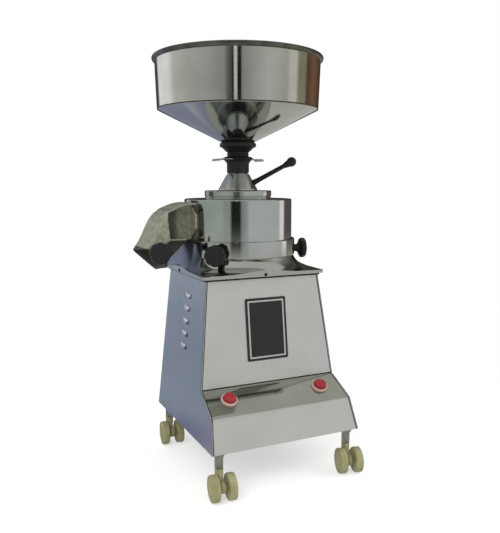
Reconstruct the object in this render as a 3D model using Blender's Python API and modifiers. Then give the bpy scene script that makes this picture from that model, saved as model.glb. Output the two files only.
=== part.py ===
"""Vertical stone flour mill on a wheeled cabinet.

A sheet hopper stands in a socket with a slide gate.  Grain falls through the feed
tube, which carries the upper stone, onto the runner stone that the motor turns.  The
adjusting cone is a nut on the feed tube: its lever sets the gap between the stones.
Flour leaves the round chamber through the cast chute.

Units are metres, +Z is up and -Y is the front.  Pieces are placed from the spindle
axis, and the whole mill is set so that its box is centred over the origin.
"""
import bpy
import bmesh
from math import acos, asin, atan, atan2, cos, degrees, pi, radians, sin
from mathutils import Matrix, Vector

MM = 0.001

# Clearances
FIT = 0.3 * MM
SLIDE_FIT = 0.4 * MM
OVERCUT = 4 * MM
EDGE = 1 * MM

# Cabinet: its sides lean out towards the floor and its front leans forward
CABINET_TOP_Z = 380 * MM
CABINET_BOTTOM_Z = 82 * MM
CABINET_TOP_HALF = 122 * MM
CABINET_BOTTOM_HALF = 155 * MM
CABINET_BACK_Y = 87 * MM
FRONT_TOP_Y = -123 * MM
FRONT_FOOT_Y = -149 * MM
FRONT_FOOT_Z = 177 * MM
STRIP_FOOT_Y = -209 * MM
STRIP_FOOT_Z = 142 * MM
LOWER_FOOT_Y = -231 * MM
STRIP_BEND_R = 16 * MM
STRIP_DROP = 2 * MM
STRIP_TUCK = 0.6 * MM
SHEET = 1.6 * MM
BASE_T = 3 * MM
FRAME_W = 18 * MM
FRAME_T = 6 * MM

# Louvres in both side panels
LOUVRE_COUNT = 5
LOUVRE_PITCH = 25.6 * MM
LOUVRE_DROP = 41 * MM
LOUVRE_Y = -36 * MM
LOUVRE_LENGTH = 36 * MM
LOUVRE_RISE = 5 * MM
LOUVRE_HEIGHT = 12 * MM

# Nameplate, push buttons and the switch block behind them
PLATE_W = 88 * MM
PLATE_H = 122 * MM
PLATE_T = 1.2 * MM
PLATE_CORNER_R = 3 * MM
PLATE_DROP = 100.5 * MM
BUTTON_X = 98 * MM
BUTTON_Y = -176 * MM
BUTTON_R = 12 * MM
BUTTON_RISE = 8 * MM
BUTTON_STEM = 13 * MM
BUTTON_TRAVEL = 4 * MM
BEZEL_R = 16.5 * MM
BEZEL_T = 4 * MM
BARREL_R = 14.5 * MM
BARREL_L = 20 * MM
SWITCH_W = 26 * MM
SWITCH_H = 16 * MM
SWITCH_MARGIN = 18 * MM

# Cable gland low in the back panel
GLAND_X = 90 * MM
GLAND_Z = 120 * MM
GLAND_R = 9 * MM
GLAND_NUT_R = 12 * MM
GLAND_L = 14 * MM
GLAND_BORE_R = 4 * MM

# Casters
WHEEL_R = 25 * MM
WHEEL_W = 14 * MM
WHEEL_DOME = 2.5 * MM
WHEEL_SPREAD = 31 * MM
AXLE_R = 3 * MM
TRAIL = 22 * MM
WEB_T = 8.6 * MM
WEB_R = 11 * MM
HUB_R = 6 * MM
STEM_R = 8 * MM
STEM_PLATE_R = 13 * MM
STEM_PLATE_T = 3 * MM
STEM_END_Z = 52 * MM
PIN_R = 5 * MM
PIN_L = 13 * MM
BOSS_H = 15 * MM
SPIGOT_L = 10 * MM
CASTER_SIDE_INSET = 19 * MM
CASTER_FRONT_INSET = 15 * MM
CASTER_BACK_INSET = 17 * MM
CASTER_SWIVELS = {"front_left": -6, "front_right": -14, "rear_left": -5, "rear_right": 4}

# Chamber base: a cast flare, trimmed to a square
BASE_HALF = 132 * MM
BASE_CORNER_R = 5 * MM
BASE_GAP = 2 * MM
BASE_H = 32.6 * MM
BASE_EDGE_T = 5.2 * MM
BASE_FLARE_R = 38 * MM
FLARE_REACH = 39.5 * MM
BRIM_RISE = 7 * MM
BASE_WALL = 6 * MM
BASE_BOSS_R = 58 * MM
SHOULDER_DROP = 6 * MM
SHOULDER_T = 3 * MM
SHOULDER_START = 156
SHOULDER_END = 200
SHOULDER_FOOT = (124 * MM, 84 * MM, 40 * MM, -8 * MM, -56 * MM)
SHOULDER_INNER = 104 * MM

# Chamber ring and drum
RING_LIP = 6.5 * MM
RING_H = 33.7 * MM
RING_FLOOR_T = 5 * MM
PAN_T = 4 * MM
PAN_DROP = 3.6 * MM
PAN_NECK_R = 40 * MM
BEARING_R = 26 * MM
BEARING_H = 15 * MM
DRUM_R = 112.5 * MM
DRUM_WALL = 3 * MM
DRUM_H = 110.4 * MM
DRUM_ROOF_T = 5 * MM
DRUM_EDGE = 2 * MM
LID_R = 70 * MM
LID_H = 16.6 * MM
LID_BOSS_R = 26 * MM

# Stones, their carrier and the spindle
STONE_GAP_R = 14.5 * MM
RUNNER_T = 26.5 * MM
UPPER_T = 28.7 * MM
STONE_GAP = 1.2 * MM
EYE_R = 30 * MM
FURROWS = 8
FURROW_W = 5 * MM
FURROW_D = 2 * MM
FURROW_SKEW = 20
CARRIER_T = 9 * MM
CARRIER_RISE = 2 * MM
PADDLES = 3
PADDLE_W = 6 * MM
PADDLE_GAP = 6 * MM
SHAFT_R = 12 * MM
SHAFT_TOP_R = 10 * MM
SHAFT_NUT_R = 14 * MM
SHAFT_NUT_H = 10 * MM
SHAFT_TAIL = 24 * MM

# Feed tube and adjusting cone
TUBE_R = 20 * MM
TUBE_BORE_R = 17 * MM
TUBE_SEAT = 15 * MM
TUBE_PLATE_R = 56 * MM
TUBE_PLATE_T = 6 * MM
CONE_FOOT_R = 40.5 * MM
CONE_FOOT_H = 2.5 * MM
CONE_TOP_R = 23.4 * MM
CONE_H = 34.2 * MM
LEVER_ROOT_H = 16.2 * MM
LEVER_RISE = 28.5
LEVER_AIM = -24
LEVER_R = 4.4 * MM
LEVER_SINK = 8 * MM
LEVER_LENGTH = 90 * MM
BALL_R = 10 * MM
BALL_NECK_R = 5.6 * MM
BALL_NECK_L = 17 * MM

# Gate and socket
COLLAR_R = 23 * MM
COLLAR_H = 24 * MM
COLLAR_GAP = 0.9 * MM
GATE_T = 1.5 * MM
GATE_HALF_L = 50 * MM
GATE_W = 44 * MM
GATE_CURL_R = 4 * MM
GATE_TRAVEL = 13 * MM
GATE_HOLE_R = 13.5 * MM
GATE_FLANGE_R = 32 * MM
GATE_FLANGE_T = 4 * MM
SOCKET_FLANGE_T = 3.5 * MM
WAIST_R = 21.7 * MM
WAIST_RIDGE = 1.2 * MM
WAIST_H = 9 * MM
FUNNEL_R = 38 * MM
FUNNEL_RIM_H = 6 * MM
FUNNEL_RISE = 12 * MM
FUNNEL_SEAT = 6 * MM

# Hopper
HOPPER_SPOUT_R = 33 * MM
HOPPER_SPOUT_H = 8 * MM
HOPPER_SEAM_R = 165.5 * MM
HOPPER_CONE_H = 74.6 * MM
HOPPER_TOP_R = 169.5 * MM
HOPPER_BAND_H = 99 * MM
HOPPER_LAP = 8 * MM
HOPPER_WALL = 1.5 * MM
BEAD_R = 5 * MM

# Knobs with moulded-in studs
KNOB_R = 21.5 * MM
KNOB_HEAD_T = 10 * MM
KNOB_ROOT_R = 8.5 * MM
KNOB_WAIST_R = 7.6 * MM
KNOB_LENGTH = 28 * MM
KNOB_LOBES = 8
KNOB_LOBE_DEPTH = 1.2 * MM
STUD_R = 4 * MM
LOCK_KNOB_RISE = 9.1 * MM
LOCK_KNOBS = {"front": -132.5, "right": -12.5, "rear": 107.5}

# Chute: a wide hood on a narrower neck, bolted to the drum by a saddle flange
CHUTE_RISE = 74 * MM
CHUTE_NEAR = 2.5 * MM
CHUTE_BEND_R = 76 * MM
CHUTE_BEND = 56
CHUTE_DROP = 69 * MM
CHUTE_GAP = 1.4 * MM
NECK_LENGTH = 50.5 * MM
CHUTE_BACK_LEAN = 6
CHUTE_MOUTH_ANGLE = 42
CHUTE_MOUTH_TILT = 8
CHUTE_HALF_W = 42 * MM
CHUTE_EDGE_R = 8 * MM
CHUTE_WALL = 4 * MM
NECK_HALF_W = 22 * MM
LEDGE_LENGTH = 34 * MM
GUSSET = 44 * MM
SADDLE_HALF_W = 41 * MM
SADDLE_T = 5 * MM
SADDLE_CHAMFER = 22 * MM
CLAMP_OUT = 30 * MM
CLAMP_DROP = 20 * MM
CLAMP_BOSS_R = 10 * MM
CLAMP_BOSS_H = 4 * MM

# Motor
MOTOR_R = 72 * MM
MOTOR_H = 166 * MM
BELL_R = 60 * MM
BELL_H = 14 * MM
ADAPTER_H = 30 * MM
ADAPTER_FLANGE_T = 7 * MM
ADAPTER_NECK_R = 42 * MM
SHAFT_BORE_R = 13 * MM
FAN_R = 58 * MM
FAN_PLATE_T = 3 * MM
FAN_H = 14 * MM
FAN_HUB_R = 18 * MM
FAN_BLADES = 6
FAN_GAP = 3 * MM

# How finely round pieces are divided
BIG_STEPS = 40
MID_STEPS = 28
SMALL_STEPS = 20
WHEEL_STEPS = 14
TINY_STEPS = 10
KNOB_STEPS = 24

# Worked out from the sizes above
SIDE_LEAN = (CABINET_BOTTOM_HALF - CABINET_TOP_HALF) / (CABINET_TOP_Z - CABINET_BOTTOM_Z)
FRONT_LEAN = (FRONT_TOP_Y - FRONT_FOOT_Y) / (CABINET_TOP_Z - FRONT_FOOT_Z)
STRIP_LEAN = (FRONT_FOOT_Z - STRIP_DROP - STRIP_FOOT_Z) / (FRONT_FOOT_Y - STRIP_FOOT_Y)
STRIP_ANGLE = atan(STRIP_LEAN)
CASTER_X = CABINET_BOTTOM_HALF - CASTER_SIDE_INSET
CASTER_FRONT_Y = LOWER_FOOT_Y + CASTER_FRONT_INSET
CASTER_BACK_Y = CABINET_BACK_Y - CASTER_BACK_INSET
CASTER_SPOTS = {"front_left": (-CASTER_X, CASTER_FRONT_Y), "front_right": (CASTER_X, CASTER_FRONT_Y),
                "rear_left": (-CASTER_X, CASTER_BACK_Y), "rear_right": (CASTER_X, CASTER_BACK_Y)}
BASE_PLATE_Z = CABINET_BOTTOM_Z + FIT
LOUVRE_TOP_Z = CABINET_TOP_Z - LOUVRE_DROP
PLATE_Z = CABINET_TOP_Z - PLATE_DROP
AXLE_Z = WHEEL_R * cos(pi / WHEEL_STEPS)
BASE_BOTTOM_Z = CABINET_TOP_Z + BASE_GAP
BASE_TOP_Z = BASE_BOTTOM_Z + BASE_H
BRIM_Z = BASE_BOTTOM_Z + BRIM_RISE
FLARE_FOOT_R = DRUM_R + FLARE_REACH
STONE_R = DRUM_R - STONE_GAP_R
PADDLE_REACH = DRUM_R - PADDLE_GAP
RING_R = DRUM_R + RING_LIP
RING_Z = BASE_TOP_Z + FIT
RING_TOP_Z = RING_Z + RING_H
LOCK_KNOB_Z = RING_Z + LOCK_KNOB_RISE
CHUTE_FLOOR_Z = RING_TOP_Z + CHUTE_GAP
CHUTE_TOP_Z = CHUTE_FLOOR_Z + CHUTE_RISE
CHUTE_BEND_X = -DRUM_R - CHUTE_NEAR
CHUTE_BACK_X = -DRUM_R - NECK_LENGTH
CLAMP_X = CHUTE_BACK_X - CLAMP_OUT
CLAMP_Z = CHUTE_FLOOR_Z - CLAMP_DROP
RING_BORE_R = DRUM_R + SLIDE_FIT
DRUM_Z = RING_Z + RING_FLOOR_T + FIT
DRUM_TOP_Z = DRUM_Z + DRUM_H
PAN_Z = RING_TOP_Z - PAN_DROP
CARRIER_Z = PAN_Z + CARRIER_RISE
RUNNER_Z = CARRIER_Z + CARRIER_T + FIT
UPPER_Z = RUNNER_Z + RUNNER_T + STONE_GAP
TUBE_Z = UPPER_Z + UPPER_T + FIT
LID_Z = DRUM_TOP_Z + FIT
CONE_Z = LID_Z + LID_H + FIT
CONE_TOP_Z = CONE_Z + CONE_H
LEVER_ROOT_Z = CONE_Z + LEVER_ROOT_H
COLLAR_Z = CONE_TOP_Z + COLLAR_GAP
GATE_SEAT_Z = COLLAR_Z + COLLAR_H + GATE_FLANGE_T
GATE_Z = GATE_SEAT_Z + FIT
RAIL_TOP_Z = GATE_Z + GATE_T + 2 * FIT
SOCKET_Z = RAIL_TOP_Z + FIT
WAIST_Z = SOCKET_Z + SOCKET_FLANGE_T
FUNNEL_Z = WAIST_Z + WAIST_H + FUNNEL_RISE
SPOUT_Z = FUNNEL_Z + FUNNEL_RIM_H - FUNNEL_SEAT + FIT
HOPPER_SEAM_Z = SPOUT_Z + HOPPER_CONE_H
HOPPER_TOP_Z = HOPPER_SEAM_Z + HOPPER_BAND_H
ADAPTER_Z = BASE_BOTTOM_Z - FIT - ADAPTER_H
MOTOR_TOP_Z = ADAPTER_Z - FIT
MOTOR_Z = MOTOR_TOP_Z - MOTOR_H
SHAFT_Z = MOTOR_Z - SHAFT_TAIL


def clear_scene():
    for obj in list(bpy.data.objects):
        bpy.data.objects.remove(obj)


def new_collection(name):
    collection = bpy.data.collections.new(name)
    bpy.context.scene.collection.children.link(collection)
    return collection


def new_finish(name, colour, roughness, metallic=0.0):
    """A plain finish: colour is linear RGB."""
    finish = bpy.data.materials.new(name)
    finish.use_nodes = True
    shader = finish.node_tree.nodes["Principled BSDF"]
    shader.inputs["Base Color"].default_value = (*colour, 1)
    shader.inputs["Roughness"].default_value = roughness
    shader.inputs["Metallic"].default_value = metallic
    return finish


clear_scene()
PARTS = new_collection("Flour mill")
CUTTERS = new_collection("Cutters")
STEEL = new_finish("polished steel", (0.62, 0.62, 0.62), 0.08, 1.0)
SATIN = new_finish("satin steel sheet", (0.42, 0.42, 0.40), 0.35, 1.0)
CASTING = new_finish("rough cast aluminium", (0.33, 0.34, 0.27), 0.6, 0.8)
CAST_IRON = new_finish("cast iron", (0.12, 0.12, 0.12), 0.6, 0.6)
BLACK = new_finish("black plastic", (0.02, 0.02, 0.02), 0.4)
CREAM = new_finish("cream plastic", (0.45, 0.43, 0.32), 0.5)
PINK = new_finish("pale pink plastic", (0.42, 0.28, 0.22), 0.5)
RED = new_finish("red plastic", (0.33, 0.04, 0.06), 0.35)
STONE = new_finish("grinding stone", (0.30, 0.27, 0.22), 0.95)
PAINT = new_finish("dark grey paint", (0.06, 0.07, 0.08), 0.5)


def new_empty(name, location=(0, 0, 0), parent=None):
    empty = bpy.data.objects.new(name, None)
    empty.empty_display_size = 0.03
    empty.location = location
    empty.parent = parent
    PARTS.objects.link(empty)
    return empty


MILL = new_empty("mill")


def add_object(name, mesh, finish=None, parent=MILL, collection=None):
    """Link a mesh as a part, or as a cutter where it has no finish."""
    obj = bpy.data.objects.new(name, mesh)
    if finish is None:
        CUTTERS.objects.link(obj)
        obj.hide_render = True
        obj.display_type = "WIRE"
        return obj
    PARTS.objects.link(obj)
    mesh.materials.clear()
    mesh.materials.append(finish)
    obj.parent = parent
    return obj


def bake(obj):
    """Replace an object's mesh by what its modifiers make of it."""
    bpy.context.view_layer.update()
    seen = obj.evaluated_get(bpy.context.evaluated_depsgraph_get())
    mesh = bpy.data.meshes.new_from_object(seen)
    obj.modifiers.clear()
    obj.data = mesh
    return obj


def combine(obj, tool, operation):
    """Join, cut or trim obj with tool, and remove the tool."""
    step = obj.modifiers.new(operation.title(), "BOOLEAN")
    step.operation = operation
    step.solver = "EXACT"
    step.object = tool
    bake(obj)
    bpy.data.objects.remove(tool)
    return obj


def cut(obj, tool):
    return combine(obj, tool, "DIFFERENCE")


def fuse(obj, tool):
    return combine(obj, tool, "UNION")


def trim(obj, tool):
    return combine(obj, tool, "INTERSECT")


def smooth(obj, angle=35):
    obj.data.shade_smooth()
    obj.data.set_sharp_from_angle(angle=radians(angle))
    return obj


def arc(centre, radius, start, end, steps):
    """Points of an arc in a plane, from one angle in degrees to another."""
    points = []
    for i in range(steps + 1):
        angle = radians(start + (end - start) * i / steps)
        points.append((centre[0] + radius * cos(angle), centre[1] + radius * sin(angle)))
    return points


def turned(name, profile, finish=None, steps=MID_STEPS, parent=MILL):
    """Turn (radius, height) points, listed down the outer side, about Z.

    A profile that starts on the axis also ends there; any other one is a closed loop.
    """
    verts = [(r, 0, z) for r, z in profile]
    edges = [(i, i + 1) for i in range(len(verts) - 1)]
    if profile[0][0] > 0:
        edges.append((len(verts) - 1, 0))
    mesh = bpy.data.meshes.new(name)
    mesh.from_pydata(verts, edges, [])
    obj = add_object(name, mesh, finish, parent)
    screw = obj.modifiers.new("Turn", "SCREW")
    screw.angle = 2 * pi
    screw.axis = "Z"
    screw.steps = steps
    screw.render_steps = steps
    screw.use_merge_vertices = True
    screw.merge_threshold = 0.00001
    return smooth(bake(obj))


def cylinder(name, radius, low, high, steps=SMALL_STEPS, finish=None, parent=MILL):
    """A plain round bar along Z, built as a capped cone of equal ends."""
    form = bmesh.new()
    middle = Matrix.Translation((0, 0, (low + high) / 2))
    bmesh.ops.create_cone(form, cap_ends=True, segments=steps, radius1=radius,
                          radius2=radius, depth=high - low, matrix=middle)
    mesh = bpy.data.meshes.new(name)
    form.to_mesh(mesh)
    form.free()
    return smooth(add_object(name, mesh, finish, parent))


def box(name, low, high, finish=None, parent=MILL):
    """A box from its lowest corner to its highest."""
    low, high = Vector(low), Vector(high)
    form = bmesh.new()
    place = Matrix.Translation((low + high) / 2) @ Matrix.Diagonal((*(high - low), 1))
    bmesh.ops.create_cube(form, size=1, matrix=place)
    mesh = bpy.data.meshes.new(name)
    form.to_mesh(mesh)
    form.free()
    return add_object(name, mesh, finish, parent)


def slab(name, outline, thickness, finish=None, parent=MILL):
    """A flat outline, thick along Z about its plane."""
    curve = bpy.data.curves.new(name, "CURVE")
    curve.dimensions = "2D"
    curve.fill_mode = "BOTH"
    curve.extrude = thickness / 2
    spline = curve.splines.new("POLY")
    spline.points.add(len(outline) - 1)
    for point, (x, y) in zip(spline.points, outline):
        point.co = (x, y, 0, 1)
    spline.use_cyclic_u = True
    obj = bpy.data.objects.new(name, curve)
    CUTTERS.objects.link(obj)
    bpy.context.view_layer.update()
    seen = obj.evaluated_get(bpy.context.evaluated_depsgraph_get())
    mesh = bpy.data.meshes.new_from_object(seen)
    bpy.data.objects.remove(obj)
    form = bmesh.new()
    form.from_mesh(mesh)
    bmesh.ops.remove_doubles(form, verts=form.verts, dist=0.000005)
    bmesh.ops.recalc_face_normals(form, faces=form.faces)
    form.to_mesh(mesh)
    form.free()
    return add_object(name, mesh, finish, parent)


def lofted(name, rings, finish=None, parent=MILL):
    """Skin rings of equal point counts, listed from one cap to the other."""
    count = len(rings[0])
    verts = [point for ring in rings for point in ring]
    faces = [tuple(reversed(range(count)))]
    for k in range(len(rings) - 1):
        for i in range(count):
            j = (i + 1) % count
            faces.append((k * count + i, k * count + j,
                          (k + 1) * count + j, (k + 1) * count + i))
    faces.append(tuple(range(len(verts) - count, len(verts))))
    mesh = bpy.data.meshes.new(name)
    mesh.from_pydata(verts, [], faces)
    form = bmesh.new()
    form.from_mesh(mesh)
    bmesh.ops.recalc_face_normals(form, faces=form.faces)
    form.to_mesh(mesh)
    form.free()
    return smooth(add_object(name, mesh, finish, parent))


# Outlines are drawn flat as (along, up): this stands them in the X-Z or the Y-Z plane
UPRIGHT_XZ = Matrix(((1, 0, 0, 0), (0, 0, -1, 0), (0, 1, 0, 0), (0, 0, 0, 1)))
UPRIGHT_YZ = Matrix(((0, 0, 1, 0), (1, 0, 0, 0), (0, 1, 0, 0), (0, 0, 0, 1)))
ALONG_X = Matrix.Rotation(pi / 2, 4, "Y")
ALONG_MINUS_Y = Matrix.Rotation(pi / 2, 4, "X")


def rounded_rectangle(half_w, half_h, radius, steps=3):
    points = []
    corners = ((half_w, half_h, 0), (-half_w, half_h, 90),
               (-half_w, -half_h, 180), (half_w, -half_h, 270))
    for x, y, start in corners:
        centre = (x - radius if x > 0 else x + radius, y - radius if y > 0 else y + radius)
        points += arc(centre, radius, start, start + 90, steps)
    return points


def half_width(z):
    """Half the cabinet's outer width at a height."""
    return CABINET_BOTTOM_HALF - SIDE_LEAN * (z - CABINET_BOTTOM_Z)


def strip_z(y):
    """Outer face of the control strip at a depth."""
    return STRIP_FOOT_Z + STRIP_LEAN * (y - STRIP_FOOT_Y)


def shifted_line(start, end, distance):
    """The line from start to end, moved to its left: a point on it and its direction."""
    along = (Vector(end) - Vector(start)).normalized()
    return Vector(start) + Vector((-along.y, along.x)) * distance, along


def meet(first, second):
    """Where two lines cross."""
    (p, u), (q, v) = first, second
    share = ((q - p).x * v.y - (q - p).y * v.x) / (u.x * v.y - u.y * v.x)
    return p + u * share


def level(z):
    return Vector((0, z)), Vector((1, 0))


def fillet(before, corner, after, radius, steps):
    """Points of the arc that rounds a corner."""
    u, v = (before - corner).normalized(), (after - corner).normalized()
    half = u.angle(v) / 2
    centre = corner + (u + v).normalized() * radius / sin(half)
    reach = radius * cos(half) / sin(half)
    first, last = corner + u * reach - centre, corner + v * reach - centre
    start = atan2(first.y, first.x)
    turn = (atan2(last.y, last.x) - start + pi) % (2 * pi) - pi
    return [centre + radius * Vector((cos(start + turn * i / steps), sin(start + turn * i / steps)))
            for i in range(steps + 1)]


def front_path(inset):
    """The cabinet's front seen from the side, as (y, z) from top to floor, moved inwards."""
    corners = [(FRONT_TOP_Y, CABINET_TOP_Z), (FRONT_FOOT_Y, FRONT_FOOT_Z - STRIP_DROP),
               (STRIP_FOOT_Y, STRIP_FOOT_Z), (LOWER_FOOT_Y, CABINET_BOTTOM_Z)]
    lines = [shifted_line(a, b, inset) for a, b in zip(corners, corners[1:])]
    lines = [level(CABINET_TOP_Z)] + lines + [level(CABINET_BOTTOM_Z)]
    top, foot, bend, low = [meet(a, b) for a, b in zip(lines, lines[1:])]
    return [top, foot] + fillet(foot, bend, low, STRIP_BEND_R - inset, 4) + [low]


def lower_y(z, inset):
    """Depth of the lower front at a height, moved inwards."""
    slope = shifted_line((STRIP_FOOT_Y, STRIP_FOOT_Z), (LOWER_FOOT_Y, CABINET_BOTTOM_Z), inset)
    return meet(slope, level(z)).x


def front_shear(outward):
    """Leans a flat X-Z sheet to the front panel's plane, moved outward from its face."""
    offset = FRONT_FOOT_Y - FRONT_LEAN * FRONT_FOOT_Z - outward
    return Matrix(((1, 0, 0, 0), (0, 1, FRONT_LEAN, offset), (0, 0, 1, 0), (0, 0, 0, 1)))


def side_shear(side):
    """Leans a flat Y-Z sheet to a side panel's plane; side is -1 on the left."""
    offset = CABINET_BOTTOM_HALF + SIDE_LEAN * CABINET_BOTTOM_Z - SHEET / 2
    return Matrix(((1, 0, -side * SIDE_LEAN, side * offset),
                   (0, 1, 0, 0), (0, 0, 1, 0), (0, 0, 0, 1)))


def make_front_panel():
    outline = [(half_width(FRONT_FOOT_Z), FRONT_FOOT_Z), (half_width(CABINET_TOP_Z), CABINET_TOP_Z),
               (-half_width(CABINET_TOP_Z), CABINET_TOP_Z), (-half_width(FRONT_FOOT_Z), FRONT_FOOT_Z)]
    panel = slab("front_panel", outline, SHEET, SATIN)
    panel.data.transform(front_shear(-SHEET / 2) @ UPRIGHT_XZ)


def make_nameplate():
    plate = slab("nameplate", rounded_rectangle(PLATE_W / 2, PLATE_H / 2, PLATE_CORNER_R),
                 PLATE_T, BLACK)
    lift = Matrix.Translation((0, 0, PLATE_Z))
    plate.data.transform(front_shear(FIT + PLATE_T / 2) @ lift @ UPRIGHT_XZ)


def louvre_wedge(side, inset, drop):
    """A prism that leans outward as it goes down: the louvre's outside, or its hollow."""
    top, foot = LOUVRE_HEIGHT / 2, -LOUVRE_HEIGHT / 2
    back = -side * (SHEET * 0.25 if inset == 0 else SHEET)
    outline = [(back, top - inset), (side * (SHEET / 2 + LOUVRE_RISE - inset), foot + inset),
               (side * (SHEET / 2 + LOUVRE_RISE - inset), foot - drop), (back, foot - drop)]
    wedge = slab("louvre wedge", outline, LOUVRE_LENGTH - 2 * inset)
    wedge.data.transform(UPRIGHT_XZ)
    return wedge


def make_side_panel(name, side):
    back = CABINET_BACK_Y - SHEET - FIT
    outline = [tuple(p) for p in front_path(SHEET + FIT)]
    outline += [(back, CABINET_BOTTOM_Z), (back, CABINET_TOP_Z)]
    panel = slab(name, outline, SHEET, SATIN)
    panel.data.transform(UPRIGHT_YZ)
    for i in range(LOUVRE_COUNT):
        spot = (0, LOUVRE_Y, LOUVRE_TOP_Z - i * LOUVRE_PITCH)
        outside = louvre_wedge(side, 0, 0)
        outside.location = spot
        fuse(panel, outside)
        hollow = louvre_wedge(side, SHEET * 0.75, FIT)
        hollow.location = spot
        cut(panel, hollow)
    panel.data.transform(side_shear(side))


def make_back_panel():
    outline = [(half_width(CABINET_BOTTOM_Z), CABINET_BOTTOM_Z),
               (half_width(CABINET_TOP_Z), CABINET_TOP_Z),
               (-half_width(CABINET_TOP_Z), CABINET_TOP_Z),
               (-half_width(CABINET_BOTTOM_Z), CABINET_BOTTOM_Z)]
    panel = slab("back_panel", outline, SHEET, SATIN)
    panel.data.transform(Matrix.Translation((0, CABINET_BACK_Y - SHEET / 2, 0)) @ UPRIGHT_XZ)
    hole = cylinder("gland hole", GLAND_R + FIT, -SHEET * 2, SHEET * 2)
    hole.matrix_basis = gland_place()
    cut(panel, hole)


def gland_place():
    """Puts local Z along +Y, out of the back panel's outer face."""
    spot = Matrix.Translation((GLAND_X, CABINET_BACK_Y, GLAND_Z))
    return spot @ Matrix.Rotation(-pi / 2, 4, "X")


def make_cable_gland():
    nut_h = GLAND_L * 0.4
    profile = [(GLAND_BORE_R, GLAND_L), (GLAND_R * 0.8, GLAND_L), (GLAND_R, nut_h + FIT),
               (GLAND_NUT_R, nut_h + FIT), (GLAND_NUT_R, FIT), (GLAND_R, FIT),
               (GLAND_R, -GLAND_L), (GLAND_BORE_R, -GLAND_L)]
    gland = turned("cable_gland", profile, BLACK, TINY_STEPS)
    gland.matrix_basis = gland_place()


def strip_place(x, depth=0.0):
    """Puts local Z out of the control strip at the buttons' line."""
    spot = Matrix.Translation((x, BUTTON_Y, strip_z(BUTTON_Y)))
    return spot @ Matrix.Rotation(STRIP_ANGLE, 4, "X") @ Matrix.Translation((0, 0, -depth))


def make_control_panel():
    """The bent sheet of the control strip and the lower front, with two button holes."""
    path = front_path(0)
    tuck = Vector((FRONT_FOOT_Y + STRIP_TUCK, strip_z(FRONT_FOOT_Y + STRIP_TUCK)))
    rows = [tuck] + path[2:]
    mesh = bpy.data.meshes.new("control_panel")
    verts = [(side * half_width(z), y, z) for y, z in rows for side in (-1, 1)]
    faces = [(2 * i, 2 * i + 2, 2 * i + 3, 2 * i + 1) for i in range(len(rows) - 1)]
    mesh.from_pydata(verts, [], faces)
    panel = add_object("control_panel", mesh, SATIN)
    wall = panel.modifiers.new("Sheet", "SOLIDIFY")
    wall.thickness = SHEET
    wall.offset = -1
    wall.use_even_offset = True
    bake(panel)
    for x in (-BUTTON_X, BUTTON_X):
        hole = cylinder("button hole", BARREL_R + FIT, -OVERCUT, OVERCUT)
        hole.matrix_basis = strip_place(x)
        cut(panel, hole)
    smooth(panel)


def make_buttons():
    face = FIT + BEZEL_T
    inner = BUTTON_R + SLIDE_FIT
    bezel_profile = [(inner, face), (BEZEL_R - 1.5 * MM, face), (BEZEL_R, face - 1.5 * MM),
                     (BEZEL_R, FIT), (BARREL_R, FIT), (BARREL_R, -BARREL_L), (inner, -BARREL_L)]
    top = face + BUTTON_RISE
    cap_profile = [(0, top), (BUTTON_R * 0.6, top - 0.6 * MM), (BUTTON_R - 1 * MM, top - 2 * MM),
                   (BUTTON_R, top - 4 * MM), (BUTTON_R, -BUTTON_STEM), (0, -BUTTON_STEM)]
    for hand, x in (("left", -BUTTON_X), ("right", BUTTON_X)):
        bezel = turned(hand + "_bezel", bezel_profile, PINK, SMALL_STEPS)
        bezel.matrix_basis = strip_place(x)
        button = turned(hand + "_button", cap_profile, RED, SMALL_STEPS)
        button.matrix_basis = strip_place(x)
    half_l = BUTTON_X + SWITCH_MARGIN
    block = box("switch_block", (-half_l, -SWITCH_W / 2, -SWITCH_H), (half_l, SWITCH_W / 2, 0), BLACK)
    block.matrix_basis = strip_place(0, BARREL_L + FIT)


def make_base_plate():
    top = BASE_PLATE_Z + BASE_T
    half = half_width(top) - SHEET - FIT
    front = lower_y(top, SHEET + FIT)
    back = CABINET_BACK_Y - SHEET - FIT
    plate = box("base_plate", (-half, front, BASE_PLATE_Z), (half, back, top), PAINT)
    for x, y in CASTER_SPOTS.values():
        hole = cylinder("spigot hole", PIN_R + FIT, BASE_PLATE_Z - OVERCUT, top + OVERCUT,
                        WHEEL_STEPS)
        hole.location = (x, y, 0)
        cut(plate, hole)


def make_top_frame():
    top = BASE_BOTTOM_Z - FIT
    half = CABINET_TOP_HALF - SHEET - FIT
    front = FRONT_TOP_Y + SHEET + FIT
    back = CABINET_BACK_Y - SHEET - FIT
    frame = box("top_frame", (-half, front, top - FRAME_T), (half, back, top), PAINT)
    inside = box("frame opening", (-half + FRAME_W, front + FRAME_W, top - FRAME_T - OVERCUT),
                 (half - FRAME_W, back - FRAME_W, top + OVERCUT))
    cut(frame, inside)


def make_cabinet():
    make_base_plate()
    make_top_frame()
    make_front_panel()
    make_side_panel("left_panel", -1)
    make_side_panel("right_panel", 1)
    make_back_panel()
    make_control_panel()
    make_nameplate()
    make_buttons()
    make_cable_gland()


def flare(radius, start, end, steps):
    """The chamber base's concave flare as (radius, height), from its neck outwards."""
    return arc((FLARE_FOOT_R, BRIM_Z + BASE_FLARE_R), radius, start, end, steps)


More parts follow.
